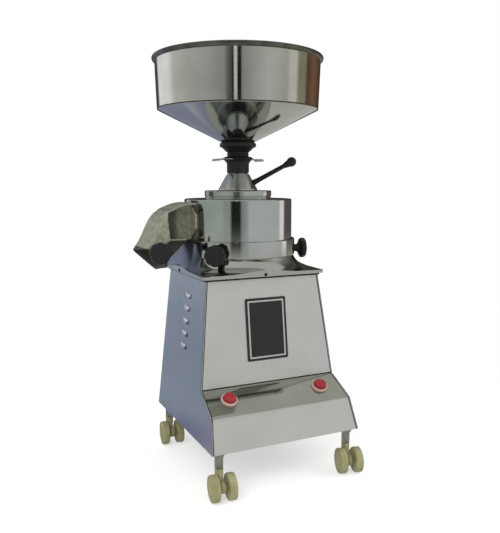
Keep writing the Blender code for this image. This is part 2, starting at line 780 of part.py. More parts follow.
def make_chamber_base():
    """A turned flare trimmed to a square, so its sides rise in an arch at their middles."""
    lift = BRIM_Z + BASE_FLARE_R - BASE_TOP_Z
    start = 180 + degrees(asin(lift / BASE_FLARE_R))
    rim = BASE_HALF * 1.6
    profile = [(SHAFT_BORE_R, BASE_TOP_Z)] + flare(BASE_FLARE_R, start, 270, 6)
    profile += [(rim, BASE_BOTTOM_Z + BASE_EDGE_T), (rim, BASE_BOTTOM_Z),
                (SHAFT_BORE_R, BASE_BOTTOM_Z)]
    base = turned("chamber_base", profile, STEEL, BIG_STEPS)
    height = BASE_TOP_Z - BASE_BOTTOM_Z
    middle = (BASE_TOP_Z + BASE_BOTTOM_Z) / 2
    square = slab("square", rounded_rectangle(BASE_HALF, BASE_HALF, BASE_CORNER_R), height + OVERCUT)
    square.location.z = middle
    trim(base, square)
    roof = BASE_TOP_Z - BASE_WALL
    inner_r = BASE_FLARE_R + BASE_WALL
    lift = BRIM_Z + BASE_FLARE_R - roof
    start = 180 + degrees(asin(lift / inner_r))
    arch = flare(inner_r, start, 255, 4)
    hollow_profile = [(BASE_BOSS_R, roof)] + arch
    hollow_profile += [(arch[-1][0], BASE_BOTTOM_Z - OVERCUT), (BASE_BOSS_R, BASE_BOTTOM_Z - OVERCUT)]
    hollow = turned("hollow", hollow_profile, None, BIG_STEPS)
    inside = slab("inside", rounded_rectangle(BASE_HALF - BASE_WALL, BASE_HALF - BASE_WALL,
                                              BASE_CORNER_R), height + 4 * OVERCUT)
    inside.location.z = middle
    trim(hollow, inside)
    cut(base, hollow)
    fuse(base, shoulder())
    smooth(base)


def shoulder():
    """The flare's raised flank on the chute's side, clear of the ring it hugs."""
    low, high = BASE_BOTTOM_Z + 2 * EDGE, RING_TOP_Z - SHOULDER_DROP
    outer = BASE_HALF - EDGE
    foot = [(-outer, y, low) for y in SHOULDER_FOOT]
    crest = [(x, y, high) for x, y in arc((0, 0), RING_R + SHOULDER_T, SHOULDER_START,
                                          SHOULDER_END, len(SHOULDER_FOOT) - 1)]
    rings = [edge + [(-SHOULDER_INNER, edge[-1][1], z), (-SHOULDER_INNER, edge[0][1], z)]
             for edge, z in ((foot, low), (crest, high))]
    flank = lofted("shoulder", rings)
    cut(flank, cylinder("ring space", RING_R + FIT, BASE_TOP_Z - EDGE, RING_TOP_Z, BIG_STEPS))
    return flank


def make_chamber_ring():
    pan_r = DRUM_R - DRUM_WALL - SLIDE_FIT
    floor_z = RING_Z + RING_FLOOR_T
    seat_r = BEARING_R + FIT
    seat_z = RING_Z + BEARING_H
    profile = [(RING_BORE_R, RING_TOP_Z), (RING_R - EDGE, RING_TOP_Z), (RING_R, RING_TOP_Z - EDGE),
               (RING_R, RING_Z), (seat_r, RING_Z), (seat_r, seat_z),
               (SHAFT_BORE_R, seat_z), (SHAFT_BORE_R, PAN_Z), (pan_r, PAN_Z),
               (pan_r, PAN_Z - PAN_T), (PAN_NECK_R, PAN_Z - PAN_T), (PAN_NECK_R, floor_z),
               (RING_BORE_R, floor_z)]
    ring = turned("chamber_ring", profile, STEEL, BIG_STEPS)
    for angle in LOCK_KNOBS.values():
        hole = cylinder("stud hole", STUD_R + FIT, -OVERCUT * 3, OVERCUT, TINY_STEPS)
        hole.matrix_basis = radial_place(RING_R, angle, LOCK_KNOB_Z)
        cut(ring, hole)
    smooth(ring)
    bearing_profile = [(SHAFT_R + FIT, seat_z - FIT), (BEARING_R, seat_z - FIT),
                       (BEARING_R, RING_Z), (SHAFT_R + FIT, RING_Z)]
    turned("spindle_bearing", bearing_profile, STEEL, SMALL_STEPS)


def make_drum():
    bore = LID_BOSS_R + FIT
    inner = DRUM_R - DRUM_WALL
    profile = [(bore, DRUM_TOP_Z), (DRUM_R - DRUM_EDGE, DRUM_TOP_Z), (DRUM_R, DRUM_TOP_Z - DRUM_EDGE),
               (DRUM_R, DRUM_Z), (inner, DRUM_Z), (inner, DRUM_TOP_Z - DRUM_ROOF_T),
               (bore, DRUM_TOP_Z - DRUM_ROOF_T)]
    drum = turned("chamber_drum", profile, STEEL, BIG_STEPS)
    cut(drum, outlet_passage())
    smooth(drum)
    lid_top = LID_Z + LID_H
    lid_profile = [(TUBE_R + FIT, lid_top), (LID_R - EDGE, lid_top), (LID_R, lid_top - EDGE),
                   (LID_R, LID_Z), (LID_BOSS_R, LID_Z), (LID_BOSS_R, DRUM_TOP_Z - DRUM_ROOF_T),
                   (TUBE_R + FIT, DRUM_TOP_Z - DRUM_ROOF_T)]
    turned("lid_flange", lid_profile, STEEL, MID_STEPS)


def radial_place(radius, angle, z):
    """Puts local Z outward from the spindle axis at an angle in degrees."""
    turn = Matrix.Rotation(radians(angle), 4, "Z")
    return turn @ Matrix.Translation((radius, 0, z)) @ ALONG_X


def lobed_ring(radius, z, depth):
    """A ring of points at a height, drawn in between its lobes by depth."""
    ring = []
    for i in range(KNOB_STEPS):
        angle = 2 * pi * i / KNOB_STEPS
        r = radius - depth * (1 - cos(KNOB_LOBES * angle)) / 2
        ring.append((r * cos(angle), r * sin(angle), z))
    return ring


def make_knob(name, stud_length):
    """A trumpet-shaped knob with a lobed head and a stud, along local Z."""
    head = KNOB_LENGTH - KNOB_HEAD_T
    deep = KNOB_LOBE_DEPTH
    rings = [(STUD_R, -stud_length, 0), (STUD_R, 0, 0), (KNOB_ROOT_R, 0, 0),
             (KNOB_WAIST_R, head * 0.4, 0), (KNOB_R * 0.72, head * 0.92, deep / 2),
             (KNOB_R, head + 2.5 * MM, deep), (KNOB_R, KNOB_LENGTH - 3 * MM, deep),
             (KNOB_R - 3 * MM, KNOB_LENGTH, deep / 2)]
    return lofted(name, [lobed_ring(*ring) for ring in rings], BLACK)


def make_lock_knobs():
    for hand, angle in LOCK_KNOBS.items():
        knob = make_knob(hand + "_lock_knob", RING_R + FIT - RING_BORE_R)
        knob.matrix_basis = radial_place(RING_R + FIT, angle, LOCK_KNOB_Z)


def furrow_cutter(z, side):
    """Bars that cut the skewed furrows into the face of a stone at height z."""
    cutter = None
    depth = (z - FURROW_D, z + OVERCUT) if side > 0 else (z - OVERCUT, z + FURROW_D)
    for i in range(FURROWS):
        bar = box("furrow", (EYE_R - OVERCUT, -FURROW_W / 2, depth[0]),
                  (STONE_R + OVERCUT * 2, FURROW_W / 2, depth[1]))
        skew = Matrix.Translation((EYE_R, 0, 0)) @ Matrix.Rotation(radians(FURROW_SKEW), 4, "Z")
        turn = Matrix.Rotation(2 * pi * i / FURROWS, 4, "Z")
        bar.data.transform(turn @ skew @ Matrix.Translation((-EYE_R, 0, 0)))
        cutter = bar if cutter is None else fuse(cutter, bar)
    return cutter


def make_stone(name, low, high, bore, parent, face_up):
    profile = [(bore, high), (STONE_R, high), (STONE_R, low), (bore, low)]
    stone = turned(name, profile, STONE, MID_STEPS, parent)
    face, side = (high, 1) if face_up else (low, -1)
    cut(stone, furrow_cutter(face, side))
    smooth(stone)


def make_spindle():
    """The motor's shaft with all that turns on it: fan, carrier and runner stone."""
    spindle = new_empty("spindle", parent=MILL)
    top = CARRIER_Z + CARRIER_T + FIT
    shoulder = CARRIER_Z - FIT
    profile = [(0, top + SHAFT_NUT_H + EDGE), (SHAFT_TOP_R - 2 * MM, top + SHAFT_NUT_H + EDGE),
               (SHAFT_TOP_R - 2 * MM, top + SHAFT_NUT_H), (SHAFT_NUT_R, top + SHAFT_NUT_H),
               (SHAFT_NUT_R, top), (SHAFT_TOP_R, top), (SHAFT_TOP_R, shoulder),
               (SHAFT_R, shoulder), (SHAFT_R, SHAFT_Z), (0, SHAFT_Z)]
    turned("motor_shaft", profile, STEEL, SMALL_STEPS, spindle)
    bore = SHAFT_TOP_R + FIT
    carrier_profile = [(bore, CARRIER_Z + CARRIER_T), (STONE_R - EDGE, CARRIER_Z + CARRIER_T),
                       (STONE_R - EDGE, CARRIER_Z), (bore, CARRIER_Z)]
    carrier = turned("stone_carrier", carrier_profile, CAST_IRON, MID_STEPS, spindle)
    for i in range(PADDLES):
        paddle = box("paddle", (STONE_R * 0.9, -PADDLE_W / 2, CARRIER_Z),
                     (PADDLE_REACH, PADDLE_W / 2, CARRIER_Z + CARRIER_T))
        paddle.rotation_euler.z = 2 * pi * i / PADDLES
        fuse(carrier, paddle)
    smooth(carrier)
    make_stone("runner_stone", RUNNER_Z, RUNNER_Z + RUNNER_T, EYE_R, spindle, True)
    make_fan(spindle)


def make_fan(spindle):
    top = MOTOR_Z - FAN_GAP
    bore = SHAFT_R + FIT
    under = top - FAN_PLATE_T
    profile = [(bore, top), (FAN_R, top), (FAN_R, under), (FAN_HUB_R, under),
               (FAN_HUB_R, top - FAN_H), (bore, top - FAN_H)]
    fan = turned("cooling_fan", profile, PAINT, SMALL_STEPS, spindle)
    for i in range(FAN_BLADES):
        blade = box("blade", (FAN_HUB_R * 0.9, -1 * MM, top - FAN_H),
                    (FAN_R - EDGE, 1 * MM, top - FAN_PLATE_T / 2))
        blade.rotation_euler.z = 2 * pi * (i + 0.5) / FAN_BLADES
        fuse(fan, blade)
    smooth(fan)


def make_motor():
    adapter_top = ADAPTER_Z + ADAPTER_H
    low_step, high_step = ADAPTER_Z + ADAPTER_FLANGE_T, adapter_top - ADAPTER_FLANGE_T
    adapter_profile = [(SHAFT_BORE_R, adapter_top), (BASE_BOSS_R, adapter_top),
                       (BASE_BOSS_R, high_step), (ADAPTER_NECK_R, high_step),
                       (ADAPTER_NECK_R, low_step), (BELL_R, low_step), (BELL_R, ADAPTER_Z),
                       (SHAFT_BORE_R, ADAPTER_Z)]
    turned("motor_adapter", adapter_profile, CAST_IRON, SMALL_STEPS)
    motor_profile = [(SHAFT_BORE_R, MOTOR_TOP_Z), (BELL_R, MOTOR_TOP_Z),
                     (MOTOR_R, MOTOR_TOP_Z - BELL_H), (MOTOR_R, MOTOR_Z + BELL_H),
                     (BELL_R, MOTOR_Z), (SHAFT_BORE_R, MOTOR_Z)]
    turned("motor_housing", motor_profile, PAINT, MID_STEPS)


def make_stone_holder():
    """The feed tube, the upper stone it carries, and the collar and socket on its top."""
    holder = new_empty("stone_holder", parent=MILL)
    plate_top = TUBE_Z + TUBE_PLATE_T
    tube_top = COLLAR_Z + TUBE_SEAT
    profile = [(TUBE_BORE_R, tube_top), (TUBE_R, tube_top), (TUBE_R, plate_top),
               (TUBE_PLATE_R, plate_top), (TUBE_PLATE_R, TUBE_Z), (TUBE_BORE_R, TUBE_Z)]
    turned("feed_tube", profile, STEEL, SMALL_STEPS, holder)
    make_stone("upper_stone", UPPER_Z, UPPER_Z + UPPER_T, TUBE_R, holder, False)
    seat = tube_top + FIT
    flange_z = COLLAR_Z + COLLAR_H
    collar_profile = [(TUBE_BORE_R, RAIL_TOP_Z), (GATE_FLANGE_R, RAIL_TOP_Z),
                      (GATE_FLANGE_R, flange_z), (COLLAR_R, flange_z), (COLLAR_R, COLLAR_Z),
                      (TUBE_R + FIT, COLLAR_Z), (TUBE_R + FIT, seat), (TUBE_BORE_R, seat)]
    collar = turned("gate_collar", collar_profile, BLACK, SMALL_STEPS, holder)
    half_w = GATE_W / 2 + SLIDE_FIT
    channel = box("gate channel", (-GATE_HALF_L, -half_w, GATE_SEAT_Z),
                  (GATE_HALF_L, half_w, RAIL_TOP_Z + OVERCUT))
    cut(collar, channel)
    smooth(collar)
    make_socket(holder)
    make_gate(holder)


def make_socket(holder):
    waist_top = WAIST_Z + WAIST_H
    funnel_top = FUNNEL_Z + FUNNEL_RIM_H
    seat_z = funnel_top - FUNNEL_SEAT
    seat_r = HOPPER_SPOUT_R + FIT
    ridge = WAIST_Z + WAIST_H / 2
    profile = [(seat_r, funnel_top), (FUNNEL_R, funnel_top), (FUNNEL_R, FUNNEL_Z),
               (WAIST_R, waist_top), (WAIST_R + WAIST_RIDGE, ridge), (WAIST_R, WAIST_Z),
               (GATE_FLANGE_R, WAIST_Z), (GATE_FLANGE_R, SOCKET_Z), (TUBE_BORE_R, SOCKET_Z),
               (TUBE_BORE_R, waist_top), (HOPPER_SPOUT_R - 5 * MM, seat_z), (seat_r, seat_z)]
    turned("hopper_socket", profile, BLACK, MID_STEPS, holder)


def make_gate(holder):
    """A slide whose hole is half over the bore; both ends curl down as finger grips."""
    flat = GATE_HALF_L - GATE_CURL_R
    curl_z = GATE_Z + GATE_T - GATE_CURL_R
    right = arc((flat, curl_z), GATE_CURL_R, 90, 0, 3)
    right += [(GATE_HALF_L, curl_z - EDGE), (GATE_HALF_L - GATE_T, curl_z - EDGE)]
    right += arc((flat, curl_z), GATE_CURL_R - GATE_T, 0, 90, 3)
    left = [(-x, z) for x, z in reversed(right)]
    gate = slab("gate_plate", right + left, GATE_W, STEEL, holder)
    gate.data.transform(UPRIGHT_XZ)
    hole = cylinder("gate hole", GATE_HOLE_R, GATE_Z - OVERCUT, GATE_Z + OVERCUT)
    hole.location.x = -GATE_TRAVEL
    cut(gate, hole)
    smooth(gate)


def make_adjuster():
    """The cone nut on the feed tube, with its lever and ball."""
    adjuster = new_empty("adjuster", parent=MILL)
    bore = TUBE_R + FIT
    profile = [(bore, CONE_TOP_Z), (CONE_TOP_R, CONE_TOP_Z), (CONE_FOOT_R, CONE_Z + CONE_FOOT_H),
               (CONE_FOOT_R, CONE_Z), (bore, CONE_Z)]
    cone = turned("adjusting_cone", profile, STEEL, MID_STEPS, adjuster)
    share = (LEVER_ROOT_Z - CONE_Z - CONE_FOOT_H) / (CONE_TOP_Z - CONE_Z - CONE_FOOT_H)
    root_r = CONE_FOOT_R + (CONE_TOP_R - CONE_FOOT_R) * share
    aim = Matrix.Rotation(radians(LEVER_AIM), 4, "Z")
    rise = Matrix.Rotation(radians(90 - LEVER_RISE), 4, "Y")
    line = aim @ Matrix.Translation((root_r, 0, LEVER_ROOT_Z)) @ rise
    hole = cylinder("lever hole", LEVER_R + FIT, -LEVER_SINK - FIT, OVERCUT * 2, TINY_STEPS)
    hole.matrix_basis = line
    cut(cone, hole)
    smooth(cone)
    seat = LEVER_LENGTH - 2 * MM
    rod = cylinder("lever_rod", LEVER_R, -LEVER_SINK, seat - FIT, TINY_STEPS, BLACK, adjuster)
    rod.matrix_basis = line
    ball_profile = [(0, LEVER_LENGTH + BALL_R)]
    ball_profile += arc((0, LEVER_LENGTH), BALL_R, 60, -40, 5)
    ball_profile += [(BALL_NECK_R, LEVER_LENGTH - BALL_NECK_L),
                     (LEVER_R + FIT, LEVER_LENGTH - BALL_NECK_L), (LEVER_R + FIT, seat), (0, seat)]
    ball = turned("lever_ball", ball_profile, BLACK, WHEEL_STEPS, adjuster)
    ball.matrix_basis = line


def make_hopper():
    hopper = new_empty("hopper", parent=MILL)
    bead_centre = (HOPPER_TOP_R + 0.1 * BEAD_R, HOPPER_TOP_Z)
    outer = degrees(acos((HOPPER_TOP_R - bead_centre[0]) / BEAD_R))
    inner = degrees(acos((HOPPER_TOP_R - HOPPER_WALL - bead_centre[0]) / BEAD_R))
    band_profile = arc(bead_centre, BEAD_R, 360 - inner, -outer, 7)
    band_profile += [(HOPPER_SEAM_R, HOPPER_SEAM_Z), (HOPPER_SEAM_R - HOPPER_WALL, HOPPER_SEAM_Z)]
    turned("hopper_band", band_profile, STEEL, BIG_STEPS, hopper)
    lap_r = HOPPER_SEAM_R - HOPPER_WALL - FIT
    lap_z = HOPPER_SEAM_Z + HOPPER_LAP
    spout_z = SPOUT_Z + HOPPER_SPOUT_H
    cone_profile = [(lap_r - HOPPER_WALL, lap_z), (lap_r, lap_z), (lap_r, HOPPER_SEAM_Z),
                    (HOPPER_SPOUT_R, spout_z), (HOPPER_SPOUT_R, SPOUT_Z),
                    (HOPPER_SPOUT_R - HOPPER_WALL, SPOUT_Z),
                    (HOPPER_SPOUT_R - HOPPER_WALL, spout_z + HOPPER_WALL),
                    (lap_r - HOPPER_WALL, HOPPER_SEAM_Z + HOPPER_WALL)]
    turned("hopper_cone", cone_profile, STEEL, BIG_STEPS, hopper)


def drawn_in(outline, distance):
    """A counterclockwise outline with each of its sides moved inwards."""
    sides = [shifted_line(a, b, distance) for a, b in zip(outline, outline[1:] + outline[:1])]
    return [meet(before, after) for before, after in zip(sides[-1:] + sides, sides)]


def cushion(name, outline, thickness, edge, finish=None):
    """A flat outline, thick along Z about its plane, with both its rims rounded by edge."""
    rings = []
    for turn in (-90, -45, 0, 0, 45, 90):
        side = -1 if len(rings) < 3 else 1
        height = side * (thickness / 2 - edge) + edge * sin(radians(turn))
        line = drawn_in(outline, edge * (1 - cos(radians(turn))))
        rings.append([(x, y, height) for x, y in line])
    return lofted(name, rings, finish)


def roof_arc(inset, start, end, steps):
    """The chute's bent roof in (x, z); angles run from the top towards the mouth."""
    centre = (CHUTE_BEND_X, CHUTE_TOP_Z - CHUTE_BEND_R)
    return arc(centre, CHUTE_BEND_R - inset, 90 + start, 90 + end, steps)


def roof_angle(x, inset):
    return degrees(asin((CHUTE_BEND_X - x) / (CHUTE_BEND_R - inset)))


def hood_form(name, inset, finish=None):
    """The hood, or the space in it; it runs on past the mouth, which is cut later."""
    roof = roof_arc(inset, 0, CHUTE_BEND, 7)
    bend = radians(CHUTE_BEND)
    run = CHUTE_DROP + 2 * CHUTE_HALF_W
    lip = (roof[-1][0] - run * cos(bend), roof[-1][1] - run * sin(bend))
    lean = radians(CHUTE_BACK_LEAN)
    up = Vector((sin(lean), cos(lean)))
    wall = Vector((CHUTE_BACK_X - inset * cos(lean), CHUTE_FLOOR_Z + inset * sin(lean))), up
    corner = meet(wall, level(CHUTE_FLOOR_Z))
    outline = roof + [lip, tuple(corner - up * run), tuple(corner), (roof[0][0], CHUTE_FLOOR_Z)]
    half = CHUTE_HALF_W - inset
    form = cushion(name, outline, 2 * half, CHUTE_EDGE_R - inset, finish)
    form.data.transform(UPRIGHT_XZ)
    behind = box("behind the hood", (CHUTE_BACK_X - inset, -2 * half, CHUTE_FLOOR_Z - run),
                 (0, 2 * half, CHUTE_TOP_Z + OVERCUT))
    return cut(form, behind)


def outlet_passage():
    """The bore from the chamber through the drum's wall and the chute's neck."""
    half = NECK_HALF_W - CHUTE_WALL
    roof_z = roof_arc(0, 0, roof_angle(CHUTE_BACK_X, 0), 1)[-1][1] - 1.5 * CHUTE_WALL
    return box("outlet", (CHUTE_BACK_X - 2 * CHUTE_WALL, -half, CHUTE_FLOOR_Z + CHUTE_WALL),
               (-STONE_R + OVERCUT, half, roof_z))


def make_chute():
    """One hollow casting: hood, roof, neck, ledge and a saddle that hugs the drum."""
    chute = hood_form("chute", 0, CASTING)
    back = roof_angle(CHUTE_BACK_X - EDGE, 0)
    inner_x = -DRUM_R * 0.8
    roof = roof_arc(0, back, 0, 5) + [(inner_x, CHUTE_TOP_Z), (inner_x, CHUTE_TOP_Z - CHUTE_WALL)]
    roof += roof_arc(CHUTE_WALL, 0, back, 5)
    lid = slab("roof", roof, 2 * (CHUTE_HALF_W - EDGE))
    lid.data.transform(UPRIGHT_XZ)
    fuse(chute, lid)
    neck_outline = roof_arc(EDGE, back, 0, 5) + [(inner_x, CHUTE_TOP_Z - EDGE)]
    neck_outline += [(inner_x, CHUTE_FLOOR_Z), (CHUTE_BACK_X - EDGE, CHUTE_FLOOR_Z)]
    neck = slab("neck", neck_outline, 2 * NECK_HALF_W)
    neck.data.transform(UPRIGHT_XZ)
    fuse(chute, neck)
    ledge = box("ledge", (CHUTE_BACK_X - CHUTE_WALL, -CHUTE_HALF_W + EDGE, CHUTE_FLOOR_Z + FIT),
                (CHUTE_BACK_X + LEDGE_LENGTH, CHUTE_HALF_W - EDGE, CHUTE_FLOOR_Z + CHUTE_WALL))
    fuse(chute, ledge)
    under = CHUTE_FLOOR_Z + EDGE
    gusset = slab("gusset", [(CHUTE_BACK_X - CHUTE_WALL, under), (CHUTE_BACK_X + GUSSET, under),
                             (CHUTE_BACK_X - CHUTE_WALL, CHUTE_FLOOR_Z - GUSSET)], 2 * NECK_HALF_W)
    gusset.data.transform(UPRIGHT_XZ)
    fuse(chute, gusset)
    fuse(chute, make_saddle())
    boss = cylinder("boss", CLAMP_BOSS_R, -CHUTE_WALL, CLAMP_BOSS_H, WHEEL_STEPS)
    boss.matrix_basis = clamp_place(0)
    fuse(chute, boss)
    cut(chute, hood_form("hood space", CHUTE_WALL))
    cut(chute, outlet_passage())
    hole = cylinder("stud hole", STUD_R + FIT, -2 * CHUTE_WALL, 2 * CLAMP_BOSS_H, TINY_STEPS)
    hole.matrix_basis = clamp_place(0)
    cut(chute, hole)
    drum_r = DRUM_R + FIT
    bottom, top = CHUTE_FLOOR_Z - 2 * CHUTE_HALF_W, CHUTE_TOP_Z + OVERCUT
    drum = turned("drum space", [(0, top), (drum_r, top), (drum_r, bottom), (0, bottom)],
                  None, BIG_STEPS)
    cut(chute, drum)
    cut(chute, mouth_cutter())
    smooth(chute)
    knob = make_knob("chute_knob", CLAMP_BOSS_H + CHUTE_WALL)
    knob.matrix_basis = clamp_place(CLAMP_BOSS_H + FIT)


def clamp_place(outward):
    """Puts local Z towards the front, out of the hood's near wall at the clamp knob."""
    return Matrix.Translation((CLAMP_X, -CHUTE_HALF_W - outward, CLAMP_Z)) @ ALONG_MINUS_Y


def make_saddle():
    """The eight-sided flange, curved to the drum."""
    low, high = CHUTE_FLOOR_Z + EDGE, CHUTE_TOP_Z - EDGE
    w, c = SADDLE_HALF_W, SADDLE_CHAMFER
    outline = [(w, low + c), (w, high - c), (w - c, high), (c - w, high),
               (-w, high - c), (-w, low + c), (c - w, low), (w - c, low)]
    saddle = slab("saddle", outline, DRUM_R)
    saddle.data.transform(Matrix.Translation((-DRUM_R * 1.2, 0, 0)) @ UPRIGHT_YZ)
    outer = DRUM_R + FIT + SADDLE_T
    top, bottom = CHUTE_TOP_Z + OVERCUT, CHUTE_FLOOR_Z - OVERCUT
    skin = turned("saddle face", [(0, top), (outer, top), (outer, bottom), (0, bottom)],
                  None, BIG_STEPS)
    return trim(saddle, skin)


def mouth_cutter():
    """All that lies past the plane of the mouth, which faces down, outward and forward."""
    bend = radians(CHUTE_BEND)
    end = roof_arc(0, 0, CHUTE_BEND, 1)[-1]
    lip = (end[0] - CHUTE_DROP * cos(bend), 0, end[1] - CHUTE_DROP * sin(bend))
    reach = 4 * CHUTE_HALF_W
    block = box("past the mouth", (-reach, -reach, 0), (reach, reach, 2 * reach))
    tilt = Matrix.Rotation(radians(CHUTE_MOUTH_TILT), 4, "X")
    face = Matrix.Rotation(pi + radians(CHUTE_MOUTH_ANGLE), 4, "Y")
    block.matrix_basis = Matrix.Translation(lip) @ face @ tilt
    return block


def make_wheel_mesh():
    """A domed caster wheel about local Z, its dome outward and its bore from inside."""
    half = WHEEL_W / 2
    bore = AXLE_R + FIT
    rim = WHEEL_R - 4 * MM
    profile = [(0, half + WHEEL_DOME), (rim * 0.55, half + WHEEL_DOME * 0.6), (rim, half - 1 * MM),
               (WHEEL_R - 1 * MM, half), (WHEEL_R, half - 2 * MM), (WHEEL_R, -half + 1 * MM),
               (WHEEL_R - 1 * MM, -half), (bore, -half), (bore, half - 3 * MM), (0, half - 3 * MM)]
    wheel = turned("wheel form", profile, CREAM, WHEEL_STEPS)
    mesh = wheel.data
    half_step = Matrix.Rotation(pi / WHEEL_STEPS, 4, "Z")
    mesh.transform(half_step)
    bpy.data.objects.remove(wheel)
    return mesh


def make_hood_mesh():
    """The caster's web and stem boss; its origin is on the swivel axis at floor level."""
    web_outline = arc((-TRAIL, AXLE_Z), WEB_R, 60, 330, 9)
    boss_low = STEM_END_Z - FIT - BOSS_H
    web_outline += [(STEM_R, boss_low), (STEM_R, STEM_END_Z - FIT), (-STEM_R, STEM_END_Z - FIT)]
    web = slab("hood form", web_outline, WEB_T, CREAM)
    web.data.transform(UPRIGHT_YZ)
    fuse(web, cylinder("boss", STEM_R, boss_low, STEM_END_Z - FIT, WHEEL_STEPS))
    spacer_l = WHEEL_SPREAD - WHEEL_W - 2 * SLIDE_FIT
    spacer = cylinder("spacer", HUB_R, -spacer_l / 2, spacer_l / 2, WHEEL_STEPS)
    spacer.matrix_basis = Matrix.Translation((0, -TRAIL, AXLE_Z)) @ ALONG_X
    fuse(web, spacer)
    cut(web, cylinder("pin bore", PIN_R + FIT, STEM_END_Z - FIT - PIN_L, STEM_END_Z + OVERCUT,
                      WHEEL_STEPS))
    bore = cylinder("axle bore", AXLE_R + FIT, -WHEEL_SPREAD, WHEEL_SPREAD, TINY_STEPS)
    bore.matrix_basis = Matrix.Translation((0, -TRAIL, AXLE_Z)) @ ALONG_X
    cut(web, bore)
    smooth(web)
    mesh = web.data
    bpy.data.objects.remove(web)
    return mesh


def make_caster(name, spot, swivel, wheel_mesh, hood_mesh):
    x, y = spot
    plate_top = BASE_PLATE_Z - FIT
    body_top = plate_top - STEM_PLATE_T
    profile = [(0, BASE_PLATE_Z + SPIGOT_L), (PIN_R, BASE_PLATE_Z + SPIGOT_L), (PIN_R, plate_top),
               (STEM_PLATE_R, plate_top), (STEM_PLATE_R, body_top), (STEM_R, body_top),
               (STEM_R, STEM_END_Z), (PIN_R, STEM_END_Z), (PIN_R, STEM_END_Z - PIN_L + FIT),
               (0, STEM_END_Z - PIN_L + FIT)]
    stem = turned(name + "_stem", profile, STEEL, WHEEL_STEPS)
    stem.location = (x, y, 0)
    pivot = new_empty(name + "_swivel", (x, y, 0), MILL)
    pivot.rotation_euler.z = radians(swivel)
    add_object(name + "_hood", hood_mesh.copy(), CREAM, pivot)
    line = new_empty(name + "_axle_line", (0, -TRAIL, AXLE_Z), pivot)
    line.rotation_euler.y = pi / 2
    half_l = WHEEL_SPREAD / 2 + WHEEL_W / 2 - 3 * MM - FIT
    cylinder(name + "_axle", AXLE_R, -half_l, half_l, TINY_STEPS, STEEL, line)
    right = add_object(name + "_wheel_right", wheel_mesh.copy(), CREAM, line)
    right.location.z = WHEEL_SPREAD / 2
    left = add_object(name + "_wheel_left", wheel_mesh.copy(), CREAM, line)
    left.location.z = -WHEEL_SPREAD / 2
    left.rotation_euler.x = pi


def make_casters():
    wheel_mesh = make_wheel_mesh()
    hood_mesh = make_hood_mesh()
    for name, spot in CASTER_SPOTS.items():
        make_caster(name, spot, CASTER_SWIVELS[name], wheel_mesh, hood_mesh)


def centre_over_origin():
    """Move the mill so that its box stands centred on the floor over the origin."""
    bpy.context.view_layer.update()
    xs, ys = [], []
    for obj in PARTS.objects:
        if obj.type == "MESH":
            corners = [obj.matrix_world @ vert.co for vert in obj.data.vertices]
            xs += [corner.x for corner in corners]
            ys += [corner.y for corner in corners]
    MILL.location = (-(min(xs) + max(xs)) / 2, -(min(ys) + max(ys)) / 2, 0)
    bpy.context.view_layer.update()


def main():
    make_cabinet()
    make_chamber_base()
    make_chamber_ring()
    make_drum()
    make_lock_knobs()
    make_spindle()
    make_motor()
    make_stone_holder()
    make_adjuster()
    make_hopper()
    make_chute()
    make_casters()
    centre_over_origin()


main()
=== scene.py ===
"""Looks for the stone flour mill: studio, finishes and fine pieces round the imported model.

Lengths are millimetres, measured from the spindle's axis and up from the floor.
"""
from math import acos, asin, atan, atan2, cos, degrees, pi, radians, sin

import bmesh
import bpy
from mathutils import Matrix, Vector


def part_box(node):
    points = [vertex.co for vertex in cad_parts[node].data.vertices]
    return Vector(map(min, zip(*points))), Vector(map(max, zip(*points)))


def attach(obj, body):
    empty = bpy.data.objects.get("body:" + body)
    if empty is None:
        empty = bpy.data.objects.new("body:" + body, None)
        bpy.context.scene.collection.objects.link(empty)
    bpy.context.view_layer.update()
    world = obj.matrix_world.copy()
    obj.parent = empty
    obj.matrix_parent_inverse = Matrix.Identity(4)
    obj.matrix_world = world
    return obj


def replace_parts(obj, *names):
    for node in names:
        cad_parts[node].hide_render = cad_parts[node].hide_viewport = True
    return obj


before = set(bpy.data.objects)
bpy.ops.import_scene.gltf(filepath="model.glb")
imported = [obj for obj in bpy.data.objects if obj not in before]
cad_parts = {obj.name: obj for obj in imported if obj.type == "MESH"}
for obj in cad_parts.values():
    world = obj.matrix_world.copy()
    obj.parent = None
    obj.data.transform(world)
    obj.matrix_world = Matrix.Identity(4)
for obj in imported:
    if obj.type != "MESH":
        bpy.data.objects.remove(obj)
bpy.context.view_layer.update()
ring_low, ring_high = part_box("chamber_ring")
AXIS = Vector(((ring_low.x + ring_high.x) / 2, (ring_low.y + ring_high.y) / 2, 0))
TO_MODEL = Matrix.Translation(AXIS) @ Matrix.Scale(0.001, 4)

# The cabinet's sheets: depths (Y), heights (Z) and half widths
TOP_Z, FOOT_Z, TOP_HALF, FOOT_HALF, BACK_Y = 380, 82, 122, 155, 87
FRONT_TOP_Y, FRONT_FOOT_Y, FRONT_FOOT_Z = -123, -149, 177
STRIP_TOP_Z, STRIP_FOOT_Y, STRIP_FOOT_Z, LOWER_FOOT_Y = 175, -209, 142, -231
STRIP_BEND_R, SHEET = 16, 1.6
PANEL_LEAN = (FOOT_HALF - TOP_HALF) / (TOP_Z - FOOT_Z)
FRONT_LEAN = (FRONT_TOP_Y - FRONT_FOOT_Y) / (TOP_Z - FRONT_FOOT_Z)
STRIP_SLOPE = (STRIP_TOP_Z - STRIP_FOOT_Z) / (FRONT_FOOT_Y - STRIP_FOOT_Y)
PLATE_Z = 279.5
CAMERA_SIDE = radians(-114.1)
BUTTON_X, BUTTON_Y = 98, -176

# The chamber: radii of the drum, the ring and the brim's half width, and the lock knobs' places
DRUM_R, RING_R, BRIM_HALF = 112.5, 119, 132
KNOB_Z, KNOB_TURNS = 424, {"front": -132.5, "right": -12.5, "rear": 107.5}


